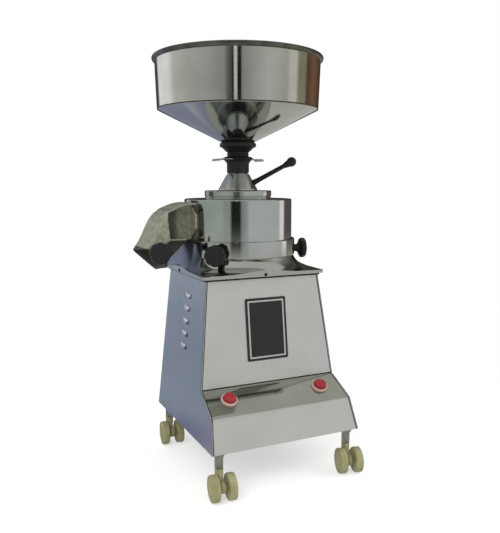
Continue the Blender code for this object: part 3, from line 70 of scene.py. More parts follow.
def linear(text):
    """An sRGB hex colour as the linear values that sockets take."""
    values = [int(text[i:i + 2], 16) / 255 for i in (1, 3, 5)]
    return tuple(v / 12.92 if v <= 0.04045 else ((v + 0.055) / 1.055) ** 2.4
                 for v in values) + (1.0,)


def add(tree, kind, sockets=None, **settings):
    """Add a node; sockets maps an input to a value or to the output that feeds it."""
    made = tree.nodes.new(kind)
    for key, value in settings.items():
        setattr(made, key, value)
    for key, value in (sockets or {}).items():
        if isinstance(value, bpy.types.NodeSocket):
            tree.links.new(value, made.inputs[key])
        else:
            made.inputs[key].default_value = value
    return made


def xyz(tree, *values):
    """A vector from its parts."""
    return add(tree, "ShaderNodeCombineXYZ", dict(enumerate(values))).outputs[0]


def calc(tree, operation, *values):
    """The result of a math node."""
    return add(tree, "ShaderNodeMath", dict(enumerate(values)), operation=operation).outputs[0]


def mix(tree, share, first, second):
    """The first colour where share is 0, the second where it is 1."""
    return add(tree, "ShaderNodeMix", {0: share, 6: first, 7: second}, data_type="RGBA").outputs[2]


def from_axis(tree):
    """The place on the object in metres, measured from the spindle's axis."""
    coords = add(tree, "ShaderNodeTexCoord").outputs["Object"]
    return add(tree, "ShaderNodeVectorMath", {0: coords, 1: AXIS}, operation="SUBTRACT").outputs[0]


def ramp(tree, value, stops):
    """A colour ramp from (place, hex colour) stops."""
    made = add(tree, "ShaderNodeValToRGB", {"Fac": value})
    band = made.color_ramp
    while len(band.elements) < len(stops):
        band.elements.new(0.5)
    for element, (place, colour) in zip(band.elements, stops):
        element.position = place
        element.color = linear(colour)
    return made.outputs["Color"]


def span(tree, value, low, high):
    """Stretch a 0 to 1 value over low to high."""
    return add(tree, "ShaderNodeMapRange",
               {"Value": value, "To Min": low, "To Max": high}).outputs[0]


def grain(tree, size, stretch=(1, 1, 1), detail=3.0, seed=0.0):
    """Noise whose blobs are about size mm across, stretched along the axes."""
    coords = add(tree, "ShaderNodeTexCoord").outputs["Object"]
    scale = [1000 / (size * s) for s in stretch]
    place = add(tree, "ShaderNodeMapping", {"Vector": coords, "Scale": scale,
                                            "Location": (seed, seed * 0.7, seed * 1.3)})
    return add(tree, "ShaderNodeTexNoise", {"Vector": place.outputs[0], "Scale": 1.0,
                                            "Detail": detail}).outputs[0]


def spun_lines(tree, pitch):
    """Fine rings about the spindle's axis, as a lathe or a buffing wheel leaves them."""
    x, y, z = add(tree, "ShaderNodeSeparateXYZ", {0: from_axis(tree)}).outputs
    reach = add(tree, "ShaderNodeVectorMath", {0: xyz(tree, x, y)}, operation="LENGTH")
    line = xyz(tree, reach.outputs["Value"], z)
    return add(tree, "ShaderNodeTexNoise", {"Vector": line, "Scale": 1000 / pitch,
                                            "Detail": 2.0}).outputs[0]


def new_finish(name, colour, roughness, metallic=0.0):
    """A Principled material, with its tree and its shader node."""
    made = bpy.data.materials.new(name)
    made.use_nodes = True
    tree = made.node_tree
    shader = tree.nodes["Principled BSDF"]
    shader.inputs["Base Color"].default_value = linear(colour)
    shader.inputs["Roughness"].default_value = roughness
    shader.inputs["Metallic"].default_value = metallic
    made.diffuse_color = linear(colour)
    return made, tree, shader


def relief(tree, shader, height, depth, strength=1.0):
    """Let a 0 to 1 height shape the surface, depth mm deep at full strength."""
    bump = add(tree, "ShaderNodeBump", {"Height": height, "Distance": depth / 1000,
                                        "Strength": strength})
    tree.links.new(bump.outputs[0], shader.inputs["Normal"])


def dulled(tree, shader, value, low, high):
    """Set the roughness between two values by a 0 to 1 value."""
    tree.links.new(span(tree, value, low, high), shader.inputs["Roughness"])


def tinted(tree, shader, value, dark, light):
    """Colour the surface between two tones by a 0 to 1 value."""
    tree.links.new(ramp(tree, value, [(0.3, dark), (0.7, light)]), shader.inputs["Base Color"])


def spun_stainless(name, colour, dark, light, pitch, patch, dull, waves):
    """Stainless with rings from the lathe, pitch mm apart, under patches of duller polish."""
    made, tree, shader = new_finish(name, colour, dull[0], 1.0)
    haze = grain(tree, **patch)
    dulled(tree, shader, haze, *dull)
    tinted(tree, shader, haze, dark, light)
    relief(tree, shader, spun_lines(tree, pitch), *waves)
    return made


def brushed_sheet(name, dull, colour, dark, waviness, metallic=1.0, height=0.35):
    """Stainless sheet, belt brushed: hairlines 0.6 mm apart along the width, slight waves."""
    made, tree, shader = new_finish(name, colour, dull, metallic)
    hair = grain(tree, 0.6, stretch=(60, 60, 1), detail=2)
    patch = grain(tree, 70, detail=3, seed=9)
    dulled(tree, shader, patch, dull * 0.8, dull * 1.25)
    tinted(tree, shader, patch, dark, colour)
    waves = calc(tree, "MULTIPLY", patch, waviness)
    relief(tree, shader, calc(tree, "ADD", hair, waves), 0.04, height)
    return made


def past(tree, value, low, high):
    """0 below low, 1 above high, smoothly; low may be the larger, which turns it round."""
    limits = {"From Min": min(low, high), "From Max": max(low, high),
              "To Min": float(low > high), "To Max": float(low < high)}
    return add(tree, "ShaderNodeMapRange", {"Value": value, **limits},
               interpolation_type="SMOOTHSTEP").outputs[0]


def cast_chute():
    """Sand-cast aluminium, fettled by hand: lumps and pores, with painted shade in its recess, under
    its neck and low round its mouth.
    """
    made, tree, shader = new_finish("sand-cast aluminium", "#A6A796", 0.55, 0.3)
    lumps = grain(tree, 9, detail=6, seed=2)
    pores = grain(tree, 1.4, detail=3, seed=7)
    colour = ramp(tree, lumps, [(0.25, "#73745F"), (0.45, "#9B9C88"), (0.65, "#ABAC9C"),
                                (0.8, "#C0C0B2")])
    x, y, z = add(tree, "ShaderNodeSeparateXYZ", {0: from_axis(tree)}).outputs
    # Painted shade: darker behind the hood's near wall under the roof, stronger towards the hood's
    # back, under the neck, and below 436 mm round the mouth
    behind = calc(tree, "MULTIPLY", past(tree, y, -0.0405, -0.037), past(tree, x, -0.1645, -0.163))
    behind = calc(tree, "MULTIPLY", behind, past(tree, z, 0.516, 0.505))
    corner = span(tree, past(tree, x, -0.138, -0.151), 0.46, 0.97)
    under = calc(tree, "MULTIPLY", past(tree, z, 0.45, 0.447), past(tree, x, -0.178, -0.168))
    painted_shade = calc(tree, "MULTIPLY", behind, corner)
    for dark in (under, past(tree, z, 0.439, 0.436)):
        painted_shade = calc(tree, "MAXIMUM", painted_shade, dark)
    patchy_painted_shade = calc(tree, "MULTIPLY", painted_shade, span(tree, lumps, 0.7, 1.0))
    # The painted shade, broken up by the lumps, takes the colour towards near-black
    tree.links.new(mix(tree, patchy_painted_shade, colour, linear("#23251D")), shader.inputs["Base Color"])
    dulled(tree, shader, lumps, 0.66, 0.44)
    relief(tree, shader, calc(tree, "MULTIPLY_ADD", pores, 0.35, lumps), 0.9, 0.6)
    return made


def moulded(name, colour, dark, roughness, depth=0.05):
    """Injection-moulded plastic: even colour, a fine skin texture and faint flow marks."""
    made, tree, shader = new_finish(name, colour, roughness)
    flow = grain(tree, 18, detail=2, seed=3)
    skin = grain(tree, 0.6, detail=2, seed=5)
    tinted(tree, shader, flow, dark, colour)
    dulled(tree, shader, skin, roughness * 0.85, roughness * 1.2)
    relief(tree, shader, skin, depth, 0.4)
    return made


def zinc_plated():
    """Zinc-plated steel: grey, slightly mottled by its crystals."""
    made, tree, shader = new_finish("zinc-plated steel", "#A9AAA4", 0.32, 1.0)
    spangle = grain(tree, 3, detail=3, seed=8)
    tinted(tree, shader, spangle, "#8F918C", "#B4B5AF")
    dulled(tree, shader, spangle, 0.25, 0.42)
    relief(tree, shader, spangle, 0.03, 0.3)
    return made


def grinding_stone():
    """Bonded emery stone: grey-buff with dark and light grit 1 to 2 mm across."""
    made, tree, shader = new_finish("bonded emery stone", "#8E8878", 0.9)
    grit = grain(tree, 1.6, detail=4, seed=1)
    tree.links.new(ramp(tree, grit, [(0.3, "#55514A"), (0.5, "#8E8878"), (0.72, "#C2BCAC")]),
                   shader.inputs["Base Color"])
    relief(tree, shader, grit, 0.5, 0.8)
    return made


def grey_iron(name, colour, dark, metallic, roughness):
    """Cast or painted iron: a fine orange-peel skin 1 mm across."""
    made, tree, shader = new_finish(name, colour, roughness, metallic)
    skin = grain(tree, 1.2, detail=3, seed=6)
    tinted(tree, shader, grain(tree, 25, seed=11), dark, colour)
    relief(tree, shader, skin, 0.15, 0.5)
    return made


STEEL = spun_stainless("polished stainless steel", "#C9C9C4", "#BFC0BB", "#CDCDC9", 1.0,
                       {"size": 60, "detail": 2}, (0.04, 0.11), (0.03, 0.12))
TURNED = spun_stainless("turned stainless steel", "#C2C3BF", "#B7B9B5", "#C8C9C5", 0.8,
                        {"size": 35, "detail": 3, "seed": 4}, (0.1, 0.22), (0.05, 0.2))
FRONT_SHEET = brushed_sheet("satin stainless sheet", 0.45, "#E2E2DF", "#D8D8D5", 0.4, 0.8)
SIDE_SHEET = brushed_sheet("bright stainless sheet", 0.17, "#BDB9C9", "#ABB8BD", 9.0)
FLANK = brushed_sheet("shot-blasted cast stainless", 0.42, "#979DB3", "#888EA4", 2.0)
STRIP_SHEET = brushed_sheet("mirror stainless sheet", 0.06, "#BDBEB4", "#B0B1A7", 12.0,
                            height=0.05)
CAST = cast_chute()
BLACK = moulded("black phenolic", "#171717", "#111111", 0.38)
RUBBER = moulded("black moulded rubber", "#1C1C1A", "#141413", 0.5)
NYLON = moulded("cream nylon", "#B0AC80", "#98956A", 0.42, depth=0.08)
RING = moulded("pale button ring", "#C8B2A2", "#BCA493", 0.34)
RED = moulded("red button cap", "#A82C38", "#962430", 0.28)
PLATE = moulded("black enamelled plate", "#1F1F1F", "#191919", 0.3)
PLATE_LINE = moulded("bare plate edge", "#B9B9B4", "#AFAFAA", 0.35)
ZINC = zinc_plated()
WELD = grey_iron("tinted weld line", "#4A4A46", "#34342F", 0.8, 0.4)
# The hopper's rolled rim is the band's own stainless sheet: its darker colour is a painted dark
# reflection
RIM_PAINTED_DARK = grey_iron("rolled rim with painted dark reflection", "#77776F", "#5C5C55", 1.0, 0.34)
GASKET = moulded("black rubber gasket", "#151515", "#0F0F0F", 0.7)
STONE = grinding_stone()
IRON = grey_iron("grey cast iron", "#55565A", "#47484C", 0.7, 0.55)
PAINT = grey_iron("dark grey enamel", "#3A3F45", "#32363B", 0.0, 0.4)


def added(name, data):
    """A new object in the scene."""
    obj = bpy.data.objects.new(name, data)
    bpy.context.scene.collection.objects.link(obj)
    return obj


def make_mesh(name, build, finish):
    """A new object from a bmesh that build fills, in millimetres."""
    form = bmesh.new()
    build(form)
    name = name.replace(" ", "_")
    mesh = bpy.data.meshes.new(name)
    form.to_mesh(mesh)
    form.free()
    mesh.materials.append(finish)
    return added(name, mesh)


def skin_rings(form, rings):
    """Join rings of vertices into a closed skin with a cap at each end."""
    for a, b in zip(rings, rings[1:]):
        for k in range(len(a)):
            j = (k + 1) % len(a)
            form.faces.new((a[k], a[j], b[j], b[k]))
    form.faces.new(rings[0][::-1])
    form.faces.new(rings[-1])
    bmesh.ops.recalc_face_normals(form, faces=form.faces)


def bake(obj):
    """Turn an object's modifiers into plain mesh."""
    bpy.context.view_layer.update()
    seen = obj.evaluated_get(bpy.context.evaluated_depsgraph_get())
    mesh = bpy.data.meshes.new_from_object(seen)
    obj.modifiers.clear()
    obj.data = mesh
    return obj


def shaped(obj, kind, **settings):
    """Run one modifier on an object and keep the plain mesh."""
    step = obj.modifiers.new(kind.title(), kind)
    for key, value in settings.items():
        setattr(step, key, value)
    return bake(obj)


def softened(obj, width, segments=2, angle=30):
    """Round an object's sharp edges a little, so that they catch the light."""
    return shaped(obj, "BEVEL", width=width, segments=segments, limit_method="ANGLE",
                  angle_limit=radians(angle), use_clamp_overlap=True)


def thickened(obj, depth=SHEET, even=False):
    """Give a surface a sheet's thickness, behind its face."""
    return shaped(obj, "SOLIDIFY", thickness=depth, offset=-1, use_even_offset=even)


def melted(obj, voxel, rounds):
    """Melt a casting's joints into fillets, in voxels of some mm and rounds of smoothing."""
    shaped(obj, "REMESH", mode="VOXEL", voxel_size=voxel)
    return shaped(obj, "SMOOTH", factor=0.5, iterations=rounds)


def settle(obj, place=None, body="mill", angle=38):
    """Put a piece made in millimetres in its place, shade it and tie it to its body.

    The weighted normals keep reflections straight on flat faces beside rounded edges.
    """
    obj.data.transform(TO_MODEL @ (place or Matrix.Identity(4)))
    obj.data.shade_smooth()
    obj.data.set_sharp_from_angle(angle=radians(angle))
    shaped(obj, "WEIGHTED_NORMAL", keep_sharp=True)
    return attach(obj, body)


def arc(centre, radius, start, end, steps):
    """Points on an arc, with its turns in degrees."""
    return [(centre[0] + radius * cos(radians(start + (end - start) * i / steps)),
             centre[1] + radius * sin(radians(start + (end - start) * i / steps)))
            for i in range(steps + 1)]


def rectangle(left, near, right, far):
    """A rectangle's corners."""
    return [(left, near), (right, near), (right, far), (left, far)]


def rounded(half_w, half_h, radius):
    """A rectangle with round corners."""
    return [p for i, (sx, sy) in enumerate(((1, 1), (-1, 1), (-1, -1), (1, -1)))
            for p in arc((sx * (half_w - radius), sy * (half_h - radius)), radius,
                         90 * i, 90 * i + 90, 6)]


def spun(name, profile, finish, steps=128, soften=0.4):
    """Turn (radius, height) points about Z into a closed ring, or a solid if it meets the axis."""
    def build(form):
        columns = [[form.verts.new((0, 0, z))] * steps if r == 0 else
                   [form.verts.new((r * cos(2 * pi * k / steps), r * sin(2 * pi * k / steps), z))
                    for k in range(steps)] for r, z in profile]
        pairs = list(zip(columns, columns[1:] + columns[:1]))
        for a, b in pairs[:-1] if profile[0][0] == 0 else pairs:
            for k in range(steps):
                j = (k + 1) % steps
                form.faces.new(list(dict.fromkeys((a[k], a[j], b[j], b[k]))))
        bmesh.ops.recalc_face_normals(form, faces=form.faces)
    obj = make_mesh(name, build, finish)
    return softened(obj, soften) if soften else obj


def prism(name, outline, low, high, finish, soften=0.4):
    """A flat outline in X-Y, extruded along Z."""
    def build(form):
        base = form.faces.new([form.verts.new((x, y, low)) for x, y in outline])
        made = bmesh.ops.extrude_face_region(form, geom=[base])
        up = [v for v in made["geom"] if isinstance(v, bmesh.types.BMVert)]
        bmesh.ops.translate(form, verts=up, vec=(0, 0, high - low))
        bmesh.ops.recalc_face_normals(form, faces=form.faces)
    obj = make_mesh(name, build, finish)
    return softened(obj, soften) if soften else obj


def combine(obj, tool, operation="DIFFERENCE"):
    """Cut an object with a tool, or join them; the tool is used up."""
    shaped(obj, "BOOLEAN", operation=operation, solver="EXACT", object=tool)
    bpy.data.objects.remove(tool)
    return obj


def cad_copy(name, source, finish, merged=True):
    """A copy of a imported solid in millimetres, its triangles merged to flat faces if asked."""
    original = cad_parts[source]

    def build(form):
        form.from_mesh(original.data)
        bmesh.ops.remove_doubles(form, verts=form.verts, dist=0.000005)
        if merged:
            bmesh.ops.dissolve_limit(form, angle_limit=radians(1), verts=form.verts,
                                     edges=form.edges)
        bmesh.ops.transform(form, matrix=TO_MODEL.inverted(), verts=form.verts)
    return make_mesh(name, build, finish)


# Turns for flat outlines that stand up, and for spun pieces that lie along an axis
UPRIGHT_XZ = Matrix(((1, 0, 0, 0), (0, 0, -1, 0), (0, 1, 0, 0), (0, 0, 0, 1)))
UPRIGHT_YZ = Matrix(((0, 0, 1, 0), (1, 0, 0, 0), (0, 1, 0, 0), (0, 0, 0, 1)))
ALONG_X = Matrix.Rotation(pi / 2, 4, "Y")
ALONG_MINUS_Y = Matrix.Rotation(pi / 2, 4, "X")
ALONG_Y = Matrix.Rotation(-pi / 2, 4, "X")


def radial(radius, angle, z):
    """Local Z points outward from the spindle's axis."""
    return Matrix.Rotation(radians(angle), 4, "Z") @ Matrix.Translation((radius, 0, z)) @ ALONG_X


def make_hopper():
    """The bowl: a sheet band with a rolled rim, seamed to a cone that ends in a spout."""
    bead_r, top_r, top_z, seam_r, seam_z, wall = 5, 169.5, 812, 165.5, 713, 1.5
    centre = (top_r + 0.1 * bead_r, top_z)
    outer, inner = [degrees(acos((r - centre[0]) / bead_r)) for r in (top_r, top_r - wall)]
    band = arc(centre, bead_r, 360 - inner, -outer, 22)
    band += [(seam_r + 0.5, seam_z + 3), (seam_r + 0.5, seam_z), (seam_r - wall, seam_z),
             (seam_r - wall, seam_z + 3)]
    piece = spun("hopper band", band, STEEL, 192, 0)
    # The bead takes the darker rim colour, a painted dark reflection
    piece.data.materials.append(RIM_PAINTED_DARK)
    for face in piece.data.polygons:
        face.material_index = int(face.center.z > top_z - bead_r - 0.5)
    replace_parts(settle(piece, body="hopper"), "hopper_band")
    lap_r, lap_z = seam_r - wall - 0.3, seam_z + 8
    spout_r, spout_z, spout_top = 33, 638.4, 646.4
    cone = [(lap_r - wall, lap_z), (lap_r, lap_z), (lap_r, seam_z - 0.2),
            (seam_r - 0.2, seam_z - 0.4), (seam_r - 2, seam_z - 2.2),
            (spout_r + 1.5, spout_top + 0.7), (spout_r, spout_top - 1),
            (spout_r, spout_z), (spout_r - wall, spout_z), (spout_r - wall, spout_top + wall),
            (lap_r - wall, seam_z + wall)]
    piece = spun("hopper cone", cone, STEEL, 192, 0)
    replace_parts(settle(piece, body="hopper", angle=15), "hopper_cone")
    seam = [(seam_r + out, seam_z + up)
            for out, up in ((-0.4, -1.5), (0.5, -0.8), (0.7, 0), (0.5, 0.6), (-0.4, 0.6))]
    settle(spun("hopper seam", seam, WELD, 192, 0), body="hopper")


def make_throat():
    """Black moulded socket and collar with the steel slide between them."""
    socket = [(33.3, 645.7), (35.6, 645.7), (37.4, 644.6), (38, 643.1), (38, 638.8), (37.2, 637.6),
              (33, 635.6), (26.5, 629.4), (22.2, 626.1), (21.7, 624.6), (22.9, 622.6), (22.9, 621),
              (21.7, 619.4), (22.4, 617.9), (25, 617.3), (29, 615.9), (31.4, 614.7), (32, 614.2),
              (31.7, 613.6), (17, 613.6), (17, 626), (28, 638.1), (33.3, 638.1)]
    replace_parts(settle(spun("hopper socket", socket, RUBBER, 96, 0.3), body="stone_holder"),
                "hopper_socket")
    collar = [(17, 613.3), (31.7, 613.3), (32, 612.8), (31.4, 612.1), (29, 610.4), (25.4, 606.8),
              (23.2, 602.6), (23, 585.6), (22.6, 584.4), (21.6, 582.9), (20.3, 582.9),
              (20.3, 598.2), (17, 598.2)]
    piece = spun("gate collar", collar, RUBBER, 96, 0.3)
    combine(piece, prism("channel", rectangle(-60, -22.4, 60, 22.4), 610.9, 620, RUBBER, 0))
    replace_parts(settle(piece, body="stone_holder"), "gate_collar")
    gate = softened(cad_copy("gate slide", "gate_plate", STEEL), 0.3)
    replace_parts(settle(gate, body="gate"), "gate_plate")


def make_stone_setting():
    """Turned cone nut with its black lever, over the stepped lid."""
    cone = [(20.3, 582), (22.4, 582), (23.4, 581), (40.1, 551.2), (40.5, 550.3),
            (40.5, 548.4), (39.8, 547.8), (20.3, 547.8)]
    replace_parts(settle(spun("cone nut", cone, TURNED, 128, 0.2), body="adjuster"), "adjusting_cone")
    root, lever_z, lever_turn, lever_rise = 33.1098, 564, -24, 28.5
    line = (Matrix.Rotation(radians(lever_turn), 4, "Z") @ Matrix.Translation((root, 0, lever_z))
            @ Matrix.Rotation(radians(90 - lever_rise), 4, "Y"))
    lever = [(0, 88), (3.4, 88), (4.6, 74), (4.8, 40), (5, 12), (5.6, 4), (6, 1.5), (6, -1.5),
             (4.4, -1.5), (4.4, -8), (0, -8)]
    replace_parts(settle(spun("lever", lever, BLACK, 48, 0.4), line, "adjuster", 60), "lever_rod")
    grip = [(0, 100)] + arc((0, 90), 10, 80, -35, 12)
    grip += [(6.9, 80), (6, 76), (5.4, 73), (4.6, 72), (4.6, 88), (0, 88)]
    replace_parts(settle(spun("lever grip", grip, BLACK, 64, 0.3), line, "adjuster", 60),
                "lever_ball")
    lid = [(20.3, 547.5), (68.8, 547.5), (70, 546.3), (70, 536.6), (68.6, 535.4), (68.6, 533.4),
           (70, 532.4), (70, 530.9), (25.7, 530.9), (25.7, 525.6), (20.3, 525.6)]
    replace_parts(settle(spun("lid", lid, TURNED, 128, 0.25)), "lid_flange")


def make_chamber():
    """Polished drum in its ring, on a flared base that is trimmed to a square."""
    drum = [(26, 530.6), (109.5, 530.6), (111.4, 530), (112.4, 528.6), (DRUM_R, 527),
            (DRUM_R, 452), (DRUM_R, 420.2), (109.5, 420.2), (109.5, 525.6), (26, 525.6)]
    piece = spun("chamber drum", drum, STEEL, 160, 0)
    combine(piece, prism("outlet", rectangle(-172, -18, -94, 18), 454, 500.8, STEEL, 0))
    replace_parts(settle(piece, angle=30), "chamber_drum")
    ring = [(112.9, 448.6), (117.4, 448.6), (118.7, 447.9), (RING_R, 446.6), (RING_R, 416.4),
            (118, 414.9), (26.3, 414.9), (26.3, 429.9), (13, 429.9), (13, 445), (109.1, 445),
            (109.1, 441), (40, 441), (40, 419.9), (112.9, 419.9)]
    piece = spun("chamber ring", ring, STEEL, 160, 0)
    for turn in KNOB_TURNS.values():
        hole = spun("stud hole", [(0, 4), (4.3, 4), (4.3, -12), (0, -12)], STEEL, 24, 0)
        hole.data.transform(radial(RING_R, turn, KNOB_Z))
        combine(piece, hole)
    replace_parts(settle(piece, angle=30), "chamber_ring")


def flare(radius, foot_z, end, steps):
    """The base's hollow curve, from a height out to an end turn."""
    centre_r, centre_z = 152, 427
    start = 180 + degrees(asin((centre_z - foot_z) / radius))
    return arc((centre_r, centre_z), radius, start, end, steps)


def make_base():
    """The flared base under the ring, hollow, with its flank on the chute's side."""
    top_z, roof_z, brim_z, foot_z = 414.6, 408.6, 387.2, 382
    profile = [(13, top_z)] + flare(38, top_z, 270, 28)
    profile += [(211, brim_z), (211, foot_z), (13, foot_z)]
    base = spun("chamber base", profile, STEEL, 160, 0)
    square = rounded(BRIM_HALF, BRIM_HALF, 5)
    combine(base, prism("square", square, 370, 420, STEEL, 0), "INTERSECT")
    arch = flare(44, roof_z, 255, 14)
    hollow = spun("hollow", [(58, roof_z)] + arch + [(arch[-1][0], 378), (58, 378)], STEEL, 96, 0)
    combine(hollow, prism("inside", rounded(126, 126, 5), 360, 430, STEEL, 0), "INTERSECT")
    combine(base, hollow)
    base.data.materials.append(FLANK)
    combine(base, raised_flank(), "UNION")
    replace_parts(settle(softened(base, 0.5, 2, 50), angle=30), "chamber_base")


def raised_flank():
    """The flare's flank on the chute's side: it climbs from the brim to hug the ring."""
    columns, rows, swell = 24, 8, 3.0
    feet, foot_x, foot_z = (124, 84, 40, -8, -56), -131, 386
    crest_r, crest_z, crest_start, crest_turn, inner_x = 122, 442.6, 156, 44, -104

    def build(form):
        rings = []
        for i in range(columns + 1):
            part = 4 * i / columns
            k = min(int(part), 3)
            foot = Vector((foot_x, feet[k] + (feet[k + 1] - feet[k]) * (part - k), foot_z))
            turn = radians(crest_start + crest_turn * i / columns)
            crest = Vector((crest_r * cos(turn), crest_r * sin(turn), crest_z))
            ring = []
            for share in (j / rows for j in range(rows + 1)):
                point = foot.lerp(crest, share)
                point.x += swell * sin(pi * share) * abs(foot.y - crest.y) / 75
                ring.append(form.verts.new(point))
            ring += [form.verts.new((inner_x, crest.y, crest_z)),
                     form.verts.new((inner_x, foot.y, foot_z))]
            rings.append(ring)
        skin_rings(form, rings)
    flank = make_mesh("flank", build, STEEL)
    flank.data.materials.append(FLANK)
    for face in flank.data.polygons:
        face.material_index = 1
    space = [(0, 460), (RING_R + 0.3, 460), (RING_R + 0.3, 413.6), (0, 413.6)]
    return combine(flank, spun("ring space", space, STEEL, 160, 0))


def lobed(name, stud, finish):
    """A star knob: conical neck, eight shallow lobes round the head, a dished face, a stud."""
    sections = [(4, -stud, 0), (4, 0, 0), (8.2, 0, 0), (8.5, 0.8, 0), (7.9, 5, 0), (7.8, 8, 0),
                (9.2, 11.5, 0.1), (13, 14.6, 0.3), (17.6, 16.4, 0.8), (20.4, 17.5, 1.3),
                (21.4, 19.2, 1.6), (21.5, 22, 1.7), (21.3, 25.2, 1.6), (20.2, 27.2, 1.2),
                (18, 28, 0.6), (14, 27.9, 0), (11.5, 27.2, 0), (9, 27, 0)]

    def build(form):
        rings = []
        for radius, z, depth in sections:
            ring = []
            for turn in (2 * pi * k / 96 for k in range(96)):
                r = radius - 1.3 * depth * (1 - abs(cos(4 * turn)) ** 0.6)
                ring.append(form.verts.new((r * cos(turn), r * sin(turn), z)))
            rings.append(ring)
        skin_rings(form, rings)
    return make_mesh(name, build, finish)


def make_knobs():
    """Three lock knobs round the ring, and the chute's own."""
    for hand, turn in KNOB_TURNS.items():
        knob = lobed(hand + " lock knob", 6.2, BLACK)
        settle(knob, radial(RING_R + 0.3, turn, KNOB_Z), hand + "_lock_knob", 50)
        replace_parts(knob, hand + "_lock_knob")
    knob = lobed("chute knob", 8, BLACK)
    place = Matrix.Translation((-193, -46.3, 430)) @ ALONG_MINUS_Y
    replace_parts(settle(knob, place, "chute_knob", 50), "chute_knob")


def make_chute():
    """The chute as cast: fine voxels melt its joints into fillets, then the bend fills out."""
    chute = cad_copy("discharge chute", "chute", CAST, merged=False)
    centre, outer, inner = (-115, 448), 75.3, 72.2
    patch = arc(centre, outer, 126, 150, 12) + arc(centre, inner, 150, 126, 12)
    filling = prism("filling", patch, -30, 30, CAST, 0)
    filling.data.transform(UPRIGHT_XZ)
    combine(chute, filling, "UNION")
    melted(chute, 1.0, 30)
    bend = Vector((-178, 490.5))
    along, outward = Vector((-0.559, -0.829)), Vector((-0.829, 0.559))
    belly, depth_reach, reach_up, reach_down = 6.0, 40, 48, 58
    for vert in chute.data.vertices:
        offset = Vector((vert.co.x, vert.co.z)) - bend
        depth, travel = -offset.dot(outward), offset.dot(along)
        reach = reach_down if travel > 0 else reach_up
        if depth < depth_reach and abs(travel) < reach:
            share = (cos(pi / 2 * travel / reach) * cos(pi / 2 * max(depth, 0) / depth_reach)) ** 2
            vert.co.x += outward.x * belly * share
            vert.co.z += outward.y * belly * share
    settle(chute, angle=60)
    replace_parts(chute, "chute")


def half_width(z):
    """Half the cabinet's width at a height."""
    return FOOT_HALF - PANEL_LEAN * (z - FOOT_Z)


def front_plane(x, z):
    """A point of the front panel's face."""
    return Vector((x, FRONT_FOOT_Y + FRONT_LEAN * (z - FRONT_FOOT_Z), z))


def make_front():
    """Sheet front, with the bare black plate on it."""
    top, foot = half_width(TOP_Z), half_width(FRONT_FOOT_Z)

    def build(form):
        corners = [front_plane(-foot, FRONT_FOOT_Z), front_plane(foot, FRONT_FOOT_Z),
                   front_plane(top, TOP_Z), front_plane(-top, TOP_Z)]
        form.faces.new([form.verts.new(p) for p in corners])
    panel = thickened(make_mesh("front sheet", build, FRONT_SHEET))
    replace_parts(settle(softened(panel, 0.5, 3)), "front_panel")
    make_plate()


def make_plate():
    """A bare black plate with a fine border line, on the front panel's slope."""
    slope = Matrix.Rotation(-atan(FRONT_LEAN), 4, "X")
    place = Matrix.Translation(front_plane(0, PLATE_Z)) @ slope @ UPRIGHT_XZ
    plate = prism("name plate", rounded(44, 61, 3), 0.3, 1.5, PLATE, 0.2)
    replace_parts(settle(plate, place), "nameplate")
    line = prism("plate line", rounded(39.2, 56.2, 1.6), 1.5, 1.62, PLATE_LINE, 0)
    combine(line, prism("hole", rounded(36.2, 53.2, 0.6), 0.5, 2.62, PLATE_LINE, 0))
    settle(line, place)


def louvre_form(side):
    """One pressed louvre: a hood that rises from the sheet towards its open lower lip."""
    length, height, rise, steps, rows = 34, 9.5, 2.4, 18, 8

    def build(form):
        grid = []
        for j in range(rows + 1):
            down, line = j / rows, []
            for i in range(steps + 1):
                across = 2 * i / steps - 1
                out = rise * (1 - abs(across) ** 3.2) * sin(down * pi / 2) ** 0.9
                line.append(form.verts.new((side * out, across * length / 2,
                                            height / 2 - down * height)))
            grid.append(line)
        for a, b in zip(grid, grid[1:]):
            for i in range(steps):
                quad = (a[i], a[i + 1], b[i + 1], b[i])
                form.faces.new(quad if side > 0 else quad[::-1])
    return thickened(make_mesh("louvre", build, SIDE_SHEET), 1.0)


def geometry_tree(name, inputs, output):
    """An empty geometry tree with named inputs, and the sockets that they come from."""
    tree = bpy.data.node_groups.new(name, "GeometryNodeTree")
    for label, kind in inputs.items():
        tree.interface.new_socket(label, in_out="INPUT", socket_type="NodeSocket" + kind)
    tree.interface.new_socket(output, in_out="OUTPUT", socket_type="NodeSocketGeometry")
    return tree, add(tree, "NodeGroupInput").outputs


def close_tree(tree, copies, finish, output):
    """Turn the copies into real mesh with their finish, and hand them out."""
    real = add(tree, "GeometryNodeRealizeInstances", {"Geometry": copies.outputs[0]})
    dressed = add(tree, "GeometryNodeSetMaterial", {"Geometry": real.outputs[0],
                                                    "Material": finish})
    add(tree, "NodeGroupOutput", {output: dressed.outputs[0]})
    return tree


def repeat_tree(name):
    """Geometry nodes: set copies of a form along a line, at an even pitch."""
    tree, given = geometry_tree(name, {"Form": "Geometry", "Count": "Int", "First": "Vector",
                                       "Pitch": "Vector", "Finish": "Material"}, "Row")
    line = add(tree, "GeometryNodeMeshLine", {"Count": given["Count"],
                                              "Start Location": given["First"],
                                              "Offset": given["Pitch"]})
    copies = add(tree, "GeometryNodeInstanceOnPoints", {"Points": line.outputs[0],
                                                        "Instance": given["Form"]})
    return close_tree(tree, copies, given["Finish"], "Row")


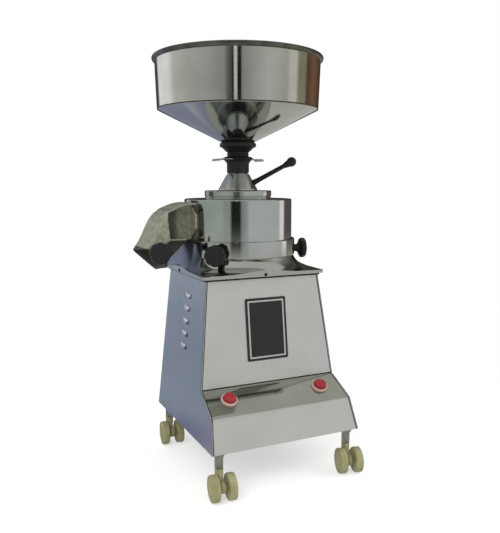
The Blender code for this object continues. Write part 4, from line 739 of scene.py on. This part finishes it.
def screws_tree(name):
    """Geometry nodes: a low domed head on each point, turned to the point's own facing."""
    tree, given = geometry_tree(name, {"Points": "Geometry", "Head Radius": "Float",
                                       "Head Height": "Float", "Finish": "Material"}, "Screws")
    radius, height = given["Head Radius"], given["Head Height"]
    ball = add(tree, "GeometryNodeMeshUVSphere", {"Segments": 20, "Rings": 10, "Radius": radius})
    flat = xyz(tree, 1.0, 1.0, calc(tree, "DIVIDE", height, radius))
    dome = add(tree, "GeometryNodeTransform", {"Geometry": ball.outputs[0], "Scale": flat})
    slot = xyz(tree, *[calc(tree, "MULTIPLY", radius, share) for share in (1.3, 0.3)], height)
    bar = add(tree, "GeometryNodeMeshCube", {"Size": slot}).outputs[0]
    lift = xyz(tree, 0.0, 0.0, height)
    raised = add(tree, "GeometryNodeTransform", {"Geometry": bar, "Translation": lift}).outputs[0]
    crossed = add(tree, "GeometryNodeTransform", {"Geometry": raised, "Rotation": (0, 0, pi / 2)})
    head = add(tree, "GeometryNodeMeshBoolean", {"Mesh 1": dome.outputs[0]},
               operation="DIFFERENCE")
    for tool in (crossed.outputs[0], raised):
        tree.links.new(tool, head.inputs["Mesh 2"])
    facing = add(tree, "GeometryNodeInputNamedAttribute", {"Name": "facing"},
                 data_type="FLOAT_VECTOR").outputs[0]
    turn = add(tree, "FunctionNodeAlignRotationToVector", {"Vector": facing}, axis="Z")
    copies = add(tree, "GeometryNodeInstanceOnPoints", {"Points": given["Points"],
                                                        "Instance": head.outputs[0],
                                                        "Rotation": turn.outputs[0]})
    return close_tree(tree, copies, given["Finish"], "Screws")


def grow(obj, tree, **values):
    """Run a geometry tree on an object with its named inputs, and keep the plain mesh."""
    step = obj.modifiers.new("Grow", "NODES")
    step.node_group = tree
    for item in tree.interface.items_tree:
        if item.in_out == "INPUT" and item.name in values:
            step[item.identifier] = values[item.name]
    return bake(obj)


LOUVRE_ROW = repeat_tree("louvre row")
SCREWS = screws_tree("screws")


def make_screws(name, spots, radius, height, finish, body="mill"):
    """Screw heads at (point, facing) spots."""
    mesh = bpy.data.meshes.new(name)
    mesh.from_pydata([p for p, _ in spots], [], [])
    facing = mesh.attributes.new("facing", "FLOAT_VECTOR", "POINT")
    for item, (_, way) in zip(facing.data, spots):
        item.vector = Vector(way).normalized()
    obj = added(name, mesh)
    grow(obj, SCREWS, **{"Head Radius": radius, "Head Height": height, "Finish": finish})
    return settle(obj, body=body)


def make_side(name, source, side):
    """A bright side sheet with five pressed louvres over open slots."""
    sheet = [tuple(p) for p in front_path(SHEET + 0.3)]
    sheet += [(BACK_Y - SHEET - 0.3, FOOT_Z), (BACK_Y - SHEET - 0.3, TOP_Z)]
    panel = prism(name, sheet, -SHEET / 2, SHEET / 2, SIDE_SHEET, 0)
    panel.data.transform(UPRIGHT_YZ)
    count, pitch, top, y = 5, 25.6, 339, -36
    for k in range(count):
        slot = prism("slot", rectangle(-14, -4.4, 14, -2.4), -5, 5, SIDE_SHEET, 0)
        slot.data.transform(Matrix.Translation((0, y, top - k * pitch)) @ UPRIGHT_YZ)
        combine(panel, slot)
    softened(panel, 0.4)
    row = louvre_form(side)
    grow(row, LOUVRE_ROW, Count=count, First=(side * 0.7, y, top), Pitch=(0, 0, -pitch),
         Finish=SIDE_SHEET)
    shear = Matrix.Identity(4)
    shear[0][2] = -side * PANEL_LEAN
    shear[0][3] = side * (FOOT_HALF + PANEL_LEAN * FOOT_Z - SHEET / 2)
    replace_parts(settle(panel, shear), source)
    settle(row, shear)


def shifted(start, end, distance):
    """The line through two points, moved to its left, as a point and a direction."""
    along = (Vector(end) - Vector(start)).normalized()
    return Vector(start) + Vector((-along.y, along.x)) * distance, along


def meet(first, second):
    """Where two such lines cross."""
    (p, u), (q, v) = first, second
    return p + u * (((q - p).x * v.y - (q - p).y * v.x) / (u.x * v.y - u.y * v.x))


def fillet(before, corner, after, radius, steps):
    """The points of an arc that rounds a corner."""
    u, v = (before - corner).normalized(), (after - corner).normalized()
    half = u.angle(v) / 2
    centre = corner + (u + v).normalized() * radius / sin(half)
    reach = radius * cos(half) / sin(half)
    first, last = corner + u * reach - centre, corner + v * reach - centre
    start = atan2(first.y, first.x)
    turn = (atan2(last.y, last.x) - start + pi) % (2 * pi) - pi
    return [centre + radius * Vector((cos(start + turn * i / steps), sin(start + turn * i / steps)))
            for i in range(steps + 1)]


def front_path(inset, steps=12):
    """The cabinet's front in side view, (y, z) from the top to the floor edge, moved inwards."""
    corners = [(FRONT_TOP_Y, TOP_Z), (FRONT_FOOT_Y, STRIP_TOP_Z), (STRIP_FOOT_Y, STRIP_FOOT_Z),
               (LOWER_FOOT_Y, FOOT_Z)]
    lines = [shifted(a, b, inset) for a, b in zip(corners, corners[1:])]
    ends = [(Vector((0, z)), Vector((1, 0))) for z in (TOP_Z, FOOT_Z)]
    lines = ends[:1] + lines + ends[1:]
    top, foot, bend, low = [meet(a, b) for a, b in zip(lines, lines[1:])]
    return [top, foot] + fillet(foot, bend, low, STRIP_BEND_R - inset, steps) + [low]


def edge_tube(name, side, inset, depth, radius, finish):
    """A round bar that follows one side edge of the cabinet's front from top to bottom."""
    points = [Vector((side * (half_width(z) - inset), y, z)) for y, z in front_path(depth)]
    points[0] = points[1].lerp(points[0], 0.985)

    def build(form):
        rings = []
        for i, point in enumerate(points):
            way = points[min(i + 1, len(points) - 1)] - points[max(i - 1, 0)]
            turn = way.to_track_quat("Z", "X").to_matrix()
            rings.append([form.verts.new(point + turn @ Vector((x, y, 0)))
                          for x, y in arc((0, 0), radius, 0, 337.5, 15)])
        skin_rings(form, rings)
    return settle(make_mesh(name, build, finish), angle=60)


def make_edges():
    """The side sheets' rolled front edges, each with a dark seam beside it."""
    for side, hand in ((-1, "left"), (1, "right")):
        edge_tube(hand + " rolled edge", side, 1.2, 0.8, 2.0, SIDE_SHEET)
        edge_tube(hand + " seam", side, 3.5, 0.3, 0.8, GASKET)


def make_control_strip():
    """One bent sheet: the button strip has kept its mirror finish, the lower front is satin."""
    tuck_y = FRONT_FOOT_Y + 0.6
    rows = [Vector((tuck_y, STRIP_FOOT_Z + STRIP_SLOPE * (tuck_y - STRIP_FOOT_Y)))]
    rows += front_path(0)[2:]
    satin_from = len(rows) - 6

    def build(form):
        verts = [[form.verts.new((side * half_width(z), y, z)) for side in (-1, 1)]
                 for y, z in rows]
        for i, (a, b) in enumerate(zip(verts, verts[1:])):
            face = form.faces.new((a[0], b[0], b[1], a[1]))
            face.material_index = int(i + 1 >= satin_from)
    strip = make_mesh("folded control strip", build, STRIP_SHEET)
    strip.data.materials.append(FRONT_SHEET)
    thickened(strip, even=True)
    for x in (-BUTTON_X, BUTTON_X):
        hole = spun("button hole", [(0, 5), (14.8, 5), (14.8, -5), (0, -5)], STRIP_SHEET, 64, 0)
        hole.data.transform(strip_place(x))
        combine(strip, hole)
    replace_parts(settle(softened(strip, 0.35), angle=20), "control_panel")


def strip_place(x):
    """Local Z points out of the strip, on the buttons' line."""
    spot = Matrix.Translation((x, BUTTON_Y, STRIP_FOOT_Z + STRIP_SLOPE * (BUTTON_Y - STRIP_FOOT_Y)))
    return spot @ Matrix.Rotation(atan(STRIP_SLOPE), 4, "X")


def make_buttons():
    """Domed red caps in pale moulded rings."""
    ring = [(12.4, 3.7), (12.9, 4.3), (14.6, 4.3), (15.7, 3.9), (16.3, 3), (16.5, 1.8),
            (16.5, 0.3), (14.5, 0.3), (14.5, -20), (12.4, -20)]
    cap = [(0, 12.3), (4, 12.2), (7.6, 11.7), (10, 10.8), (11.4, 9.6), (12, 7.8), (12, -13),
           (0, -13)]
    for hand, x in (("left", -BUTTON_X), ("right", BUTTON_X)):
        piece = spun(hand + " button ring", ring, RING, 72, 0.2)
        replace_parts(settle(piece, strip_place(x)), hand + "_bezel")
        piece = spun(hand + " button cap", cap, RED, 72, 0.2)
        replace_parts(settle(piece, strip_place(x), hand + "_button"), hand + "_button")


def make_back():
    """The flat back sheet, its screws and the cable gland."""
    sheet = softened(cad_copy("back sheet", "back_panel", FRONT_SHEET), 0.3)
    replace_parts(settle(sheet), "back_panel")
    spots = [(side * (half_width(z) - 9), z) for side in (-1, 1) for z in (96, 185, 275, 366)]
    spots = [((x, BACK_Y, z), (0, 1, 0)) for x, z in spots + [(0, 92), (0, 371)]]
    make_screws("back_screws", spots, 3.6, 1.8, ZINC)
    gland = [(4, 14), (6.4, 14), (7.2, 13.4), (8.6, 6.4), (9, 5.9), (11.4, 5.9), (12, 5.3),
             (12, 0.9), (11.4, 0.3), (9, 0.3), (9, -14), (4, -14)]
    piece = spun("cable gland", gland, BLACK, 64, 0.2)
    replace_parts(settle(piece, Matrix.Translation((90, BACK_Y, 120)) @ ALONG_Y), "cable_gland")


def make_casters():
    """Cream twin-wheel casters on plated stems."""
    disc = [(0, 9.4), (4, 9.3), (11, 8.6), (12, 8.1), (19.8, 6.3), (20.6, 5.7), (21.6, 5.9),
            (22.2, 6.8), (23.2, 6.9), (24, 6.2), (24.3, 5.2), (24.3, -4.8), (23.6, -6.4),
            (22.4, -7), (3.3, -7), (3.3, 4), (0, 4)]
    stem = [(0, 92.3), (4.4, 92.3), (5, 91.7), (5, 82), (12.4, 82), (13, 81.4), (13, 79.6),
            (12.4, 79), (8, 79), (8, 52.6), (7.4, 52), (5, 52), (5, 39.6), (0, 39.6)]
    trail, axle_z, wheel_out = 22, 24.37, 15.5
    spots = {"front_left": (-136, -216, -6), "front_right": (136, -216, -14),
             "rear_left": (-136, 70, -5), "rear_right": (136, 70, 4)}
    for corner, (x, y, swivel) in spots.items():
        foot = Matrix.Translation((x, y, 0))
        axle = (foot @ Matrix.Rotation(radians(swivel), 4, "Z")
                @ Matrix.Translation((0, -trail, axle_z)) @ ALONG_X)
        for hand, face in (("right", Matrix.Identity(4)), ("left", Matrix.Rotation(pi, 4, "X"))):
            wheel = spun(corner + " " + hand + " tyre", disc, NYLON, 72, 0.3)
            place = axle @ face @ Matrix.Translation((0, 0, wheel_out))
            name = corner + "_wheel_" + hand
            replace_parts(settle(wheel, place, name), name)
        hood = melted(cad_copy(corner + " caster hood", corner + "_hood", NYLON), 0.8, 4)
        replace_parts(settle(hood, body=corner + "_swivel", angle=60), corner + "_hood")
        piece = spun(corner + " caster stem", stem, ZINC, 64, 0.2)
        nut = prism(corner + " stem nut", arc((0, 0), 11.6, 0, 300, 5), 75.5, 78.9, ZINC, 0.6)
        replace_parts(settle(piece, foot), corner + "_stem")
        settle(nut, foot)


def dress(finish, *nodes):
    """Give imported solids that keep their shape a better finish."""
    for name in nodes:
        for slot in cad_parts[name].material_slots:
            slot.material = finish


def make_inside():
    """Finishes for what the cabinet and the chamber hide."""
    dress(IRON, "base_plate", "top_frame", "motor_adapter", "stone_carrier")
    dress(PAINT, "motor_housing")
    dress(BLACK, "cooling_fan", "switch_block")
    dress(STONE, "runner_stone", "upper_stone")
    dress(TURNED, "feed_tube", "motor_shaft", "spindle_bearing")
    dress(ZINC, "front_left_axle", "front_right_axle", "rear_left_axle", "rear_right_axle")


def make_fastenings():
    """Dark screws in the base's edges, and the gasket between the base and the cabinet, which stands
    out under the brim as a black band of painted shadow.
    """
    sides = [((BRIM_HALF * x, BRIM_HALF * y, 386), (x, y, 0))
             for x, y in ((0, -1), (1, 0), (0, 1), (-1, 0))]
    make_screws("base_screws", sides, 3.4, 1.8, BLACK)
    # The gasket is real, but it is widened out under the brim so that its black band stands in for
    # the brim's shadow: painted shadow
    gasket = prism("base gasket", rectangle(-125, -126.5, 125, 90), 378, 381.9, GASKET, 0.4)
    combine(gasket, prism("rebate", rectangle(-122.5, -123.6, 122.5, 87.4), 370, 380.1, GASKET, 0))
    combine(gasket, prism("opening", arc((0, 0), 70, 0, 350, 35), 375, 390, GASKET, 0))
    settle(gasket)


def studio_cards(tree):
    """What polished metal sees: flags and cards round the studio, by height and by turn.

    Turns are degrees from the camera's side, to the right.
    """
    way = add(tree, "ShaderNodeTexCoord").outputs["Generated"]
    x, y, z = add(tree, "ShaderNodeSeparateXYZ", {0: way}).outputs
    offset = calc(tree, "SUBTRACT", calc(tree, "ARCTAN2", y, x), CAMERA_SIDE)
    place = add(tree, "ShaderNodeMapRange", {"Value": calc(tree, "WRAP", offset, pi, -pi),
                                             "From Min": -pi, "From Max": pi}).outputs[0]

    def row(stops):
        return ramp(tree, place, [((turn + 180) / 360, tone) for turn, tone in stops])

    def climb(low, high, below, above):
        return mix(tree, past(tree, z, low, high), below, above)
    upper = row([(-180, "#3A3F3A"), (-146, "#454C44"), (-139, "#FFFFFF"), (-108, "#FFFFFF"),
                 (-96, "#D2D3CD"), (-60, "#BCBDB8"), (-18, "#A2A39E"), (-13, "#6E6F6A"),
                 (-8.4, "#5E5F5A"), (-7.6, "#1A1A1A"), (-5.4, "#1A1A1A"), (-4.6, "#E4E4E0"),
                 (-1, "#E4E4E0"), (-0.2, "#1A1A1A"), (4.4, "#202020"), (5.6, "#9C9D98"),
                 (42, "#C8C9C4"), (70, "#B8B9B0"), (76, "#D6D6CA"), (86, "#D6D6CA"),
                 (91, "#94917C"), (104, "#94917C"), (110, "#5E4A3C"), (126, "#80604A"),
                 (142, "#6A4C3A"), (154, "#4A3A32"), (166, "#3A3A36")])
    middle = row([(-180, "#30342F"), (-150, "#3A3E3A"), (-140, "#B4BAC4"), (-122, "#B4BAC4"),
                  (-116, "#3C403C"), (-96, "#3C403C"), (-90, "#A6B2AE"), (-34, "#ACB6B2"),
                  (-29, "#A0A7A2"), (-17, "#A2A9A4"), (-13, "#1C2420"), (4, "#1C2420"),
                  (8, "#8F9A98"), (18, "#A6AEAE"), (24, "#C6CCCE"), (96, "#C2C8CA"),
                  (102, "#FFFFFF"), (111, "#FFFFFF"), (117, "#66625F"), (150, "#5A5856"),
                  (165, "#3A3C3C")])
    lower = row([(-180, "#8A8DA2"), (-160, "#8A8DA2"), (-146, "#9CA6B4"), (-112, "#A6ACB6"),
                 (-92, "#A8ACB4"), (-60, "#B8BAB8"), (60, "#C2C2BE"), (120, "#B0B0A4"),
                 (150, "#B8B8B0"), (172, "#C4C4C0")])
    left = [(-180, "#2C2E2C"), (-160, "#2C2E2C"), (-148, "#9CA2B6"), (-112, "#A0A5B6"),
            (-98, "#A0A2A0"), (-80, "#A4A5A0"), (-20, "#A4A5A0"), (-13, "#303230"),
            (5, "#303230")]
    right = [(112, "#8C8C88"), (140, "#4A4A48")]
    high = row(left + [(14, "#C0C1BC"), (30, "#D4D4D0"), (90, "#CFCFCB")] + right)
    over_strip = row(left + [(14, "#9A9B96"), (38, "#3A3C38"), (44, "#2C2E2C"), (48, "#9C9D90"),
                             (58, "#8E8F82"), (90, "#B8B8B4")] + right)
    flags = row(left + [(14, "#9A9B96"), (38, "#3A3C38"), (47, "#1C1E1A"), (54, "#1C1E1A"),
                        (58, "#6A6B5F"), (62, "#8C8D80"), (90, "#B8B8B4")] + right)
    seen = climb(-0.14, -0.07, lower, middle)
    for low, top, above in ((0.02, 0.06, upper), (0.15, 0.19, high), (0.42, 0.48, over_strip),
                            (0.55, 0.558, flags), (0.62, 0.70, linear("#C2C3BF"))):
        seen = climb(low, top, seen, above)
    return seen


def mirrored(tree):
    """1 for a ray that came off a polished surface."""
    ray = add(tree, "ShaderNodeLightPath").outputs
    return calc(tree, "MAXIMUM", ray["Is Glossy Ray"], ray["Is Transmission Ray"])


def studio_world():
    """White to the eye, plain soft light, and the studio's cards in polished metal."""
    world = bpy.data.worlds.new("studio")
    bpy.context.scene.world = world
    world.use_nodes = True
    tree = world.node_tree
    tree.nodes.clear()
    eye = add(tree, "ShaderNodeLightPath").outputs["Is Camera Ray"]
    soft, cards, white = [add(tree, "ShaderNodeBackground",
                              {"Color": colour, "Strength": strength}).outputs[0]
                          for colour, strength in ((linear("#FFFFFF"), 0.62),
                                                   (studio_cards(tree), 1.0),
                                                   (linear("#FFFFFF"), 1.0))]
    lit = add(tree, "ShaderNodeMixShader", {0: mirrored(tree), 1: soft, 2: cards}).outputs[0]
    seen = add(tree, "ShaderNodeMixShader", {0: eye, 1: lit, 2: white}).outputs[0]
    add(tree, "ShaderNodeOutputWorld", {"Surface": seen})


def pale_floor():
    """A round matt floor: white to the eye but for the mill's shadow, grey card in the metal."""
    made, tree, shader = new_finish("matt studio floor", "#E6E6E4", 0.9)
    tinted(tree, shader, grain(tree, 300, detail=2), "#E3E3E1", "#E8E8E6")
    eye = add(tree, "ShaderNodeLightPath").outputs["Is Camera Ray"]
    glow = add(tree, "ShaderNodeEmission", {"Color": linear("#FFFFFF"),
                                            "Strength": calc(tree, "MULTIPLY", eye, 0.5)})
    bright = add(tree, "ShaderNodeAddShader", {0: shader.outputs[0], 1: glow.outputs[0]})
    away, across = [add(tree, "ShaderNodeVectorMath", {0: from_axis(tree), 1: way},
                        operation="DOT_PRODUCT").outputs["Value"]
                    for way in ((0.426, 0.905, 0), (0.905, -0.426, 0))]
    back = mix(tree, past(tree, across, -0.1, 0.15), linear("#868AA0"), linear("#BCBCB6"))
    back = mix(tree, past(tree, across, -0.3, -0.42), back, linear("#A4ACB6"))
    card = mix(tree, past(tree, away, -0.25, 0.05), linear("#C2C2BE"), back)
    grey = add(tree, "ShaderNodeEmission", {"Color": card, "Strength": 1.0})
    look = add(tree, "ShaderNodeMixShader", {0: mirrored(tree), 1: bright.outputs[0],
                                             2: grey.outputs[0]})
    tree.links.new(look.outputs[0], tree.nodes["Material Output"].inputs["Surface"])
    edge = arc((0, 0), 800, 0, 356.25, 95)
    floor = make_mesh("floor", lambda form: form.faces.new([form.verts.new((x, y, 0))
                                                            for x, y in edge]), made)
    floor.data.transform(TO_MODEL)


def soft_lamp(name, place, size, power):
    """A square softbox that faces the object's middle and leaves no spot in the polish."""
    lamp = bpy.data.lights.new(name, "AREA")
    lamp.shape = "SQUARE"
    lamp.size = size
    lamp.energy = power
    obj = added(name, lamp)
    obj.location = TO_MODEL @ Vector(place)
    aim = TO_MODEL @ Vector((0, 0, 420)) - obj.location
    obj.rotation_euler = aim.to_track_quat("-Z", "Y").to_euler()
    obj.visible_glossy = False


def make_camera():
    """The photograph's viewpoint, fitted to its edges."""
    lens = bpy.data.cameras.new("camera")
    lens.sensor_fit = "HORIZONTAL"
    lens.sensor_width = 36
    lens.lens = 46.2
    lens.clip_start = 0.05
    obj = added("camera", lens)
    obj.location = TO_MODEL @ Vector((-555.8, -1239.9, 564.9))
    obj.rotation_euler = Vector((0.4223, 0.897, -0.1304)).to_track_quat("-Z", "Y").to_euler()
    bpy.context.scene.camera = obj


make_camera()
make_hopper()
make_throat()
make_stone_setting()
make_chamber()
make_base()
make_knobs()
make_chute()
make_front()
make_side("left_side_sheet", "left_panel", -1)
make_side("right_side_sheet", "right_panel", 1)
make_edges()
make_control_strip()
make_buttons()
make_back()
make_casters()
make_inside()
make_fastenings()
studio_world()
pale_floor()
soft_lamp("key softbox", (-1500, -1500, 1700), 1.4, 22)
soft_lamp("fill softbox", (1700, -900, 1200), 1.4, 10)
bpy.context.scene.view_settings.view_transform = "Standard"
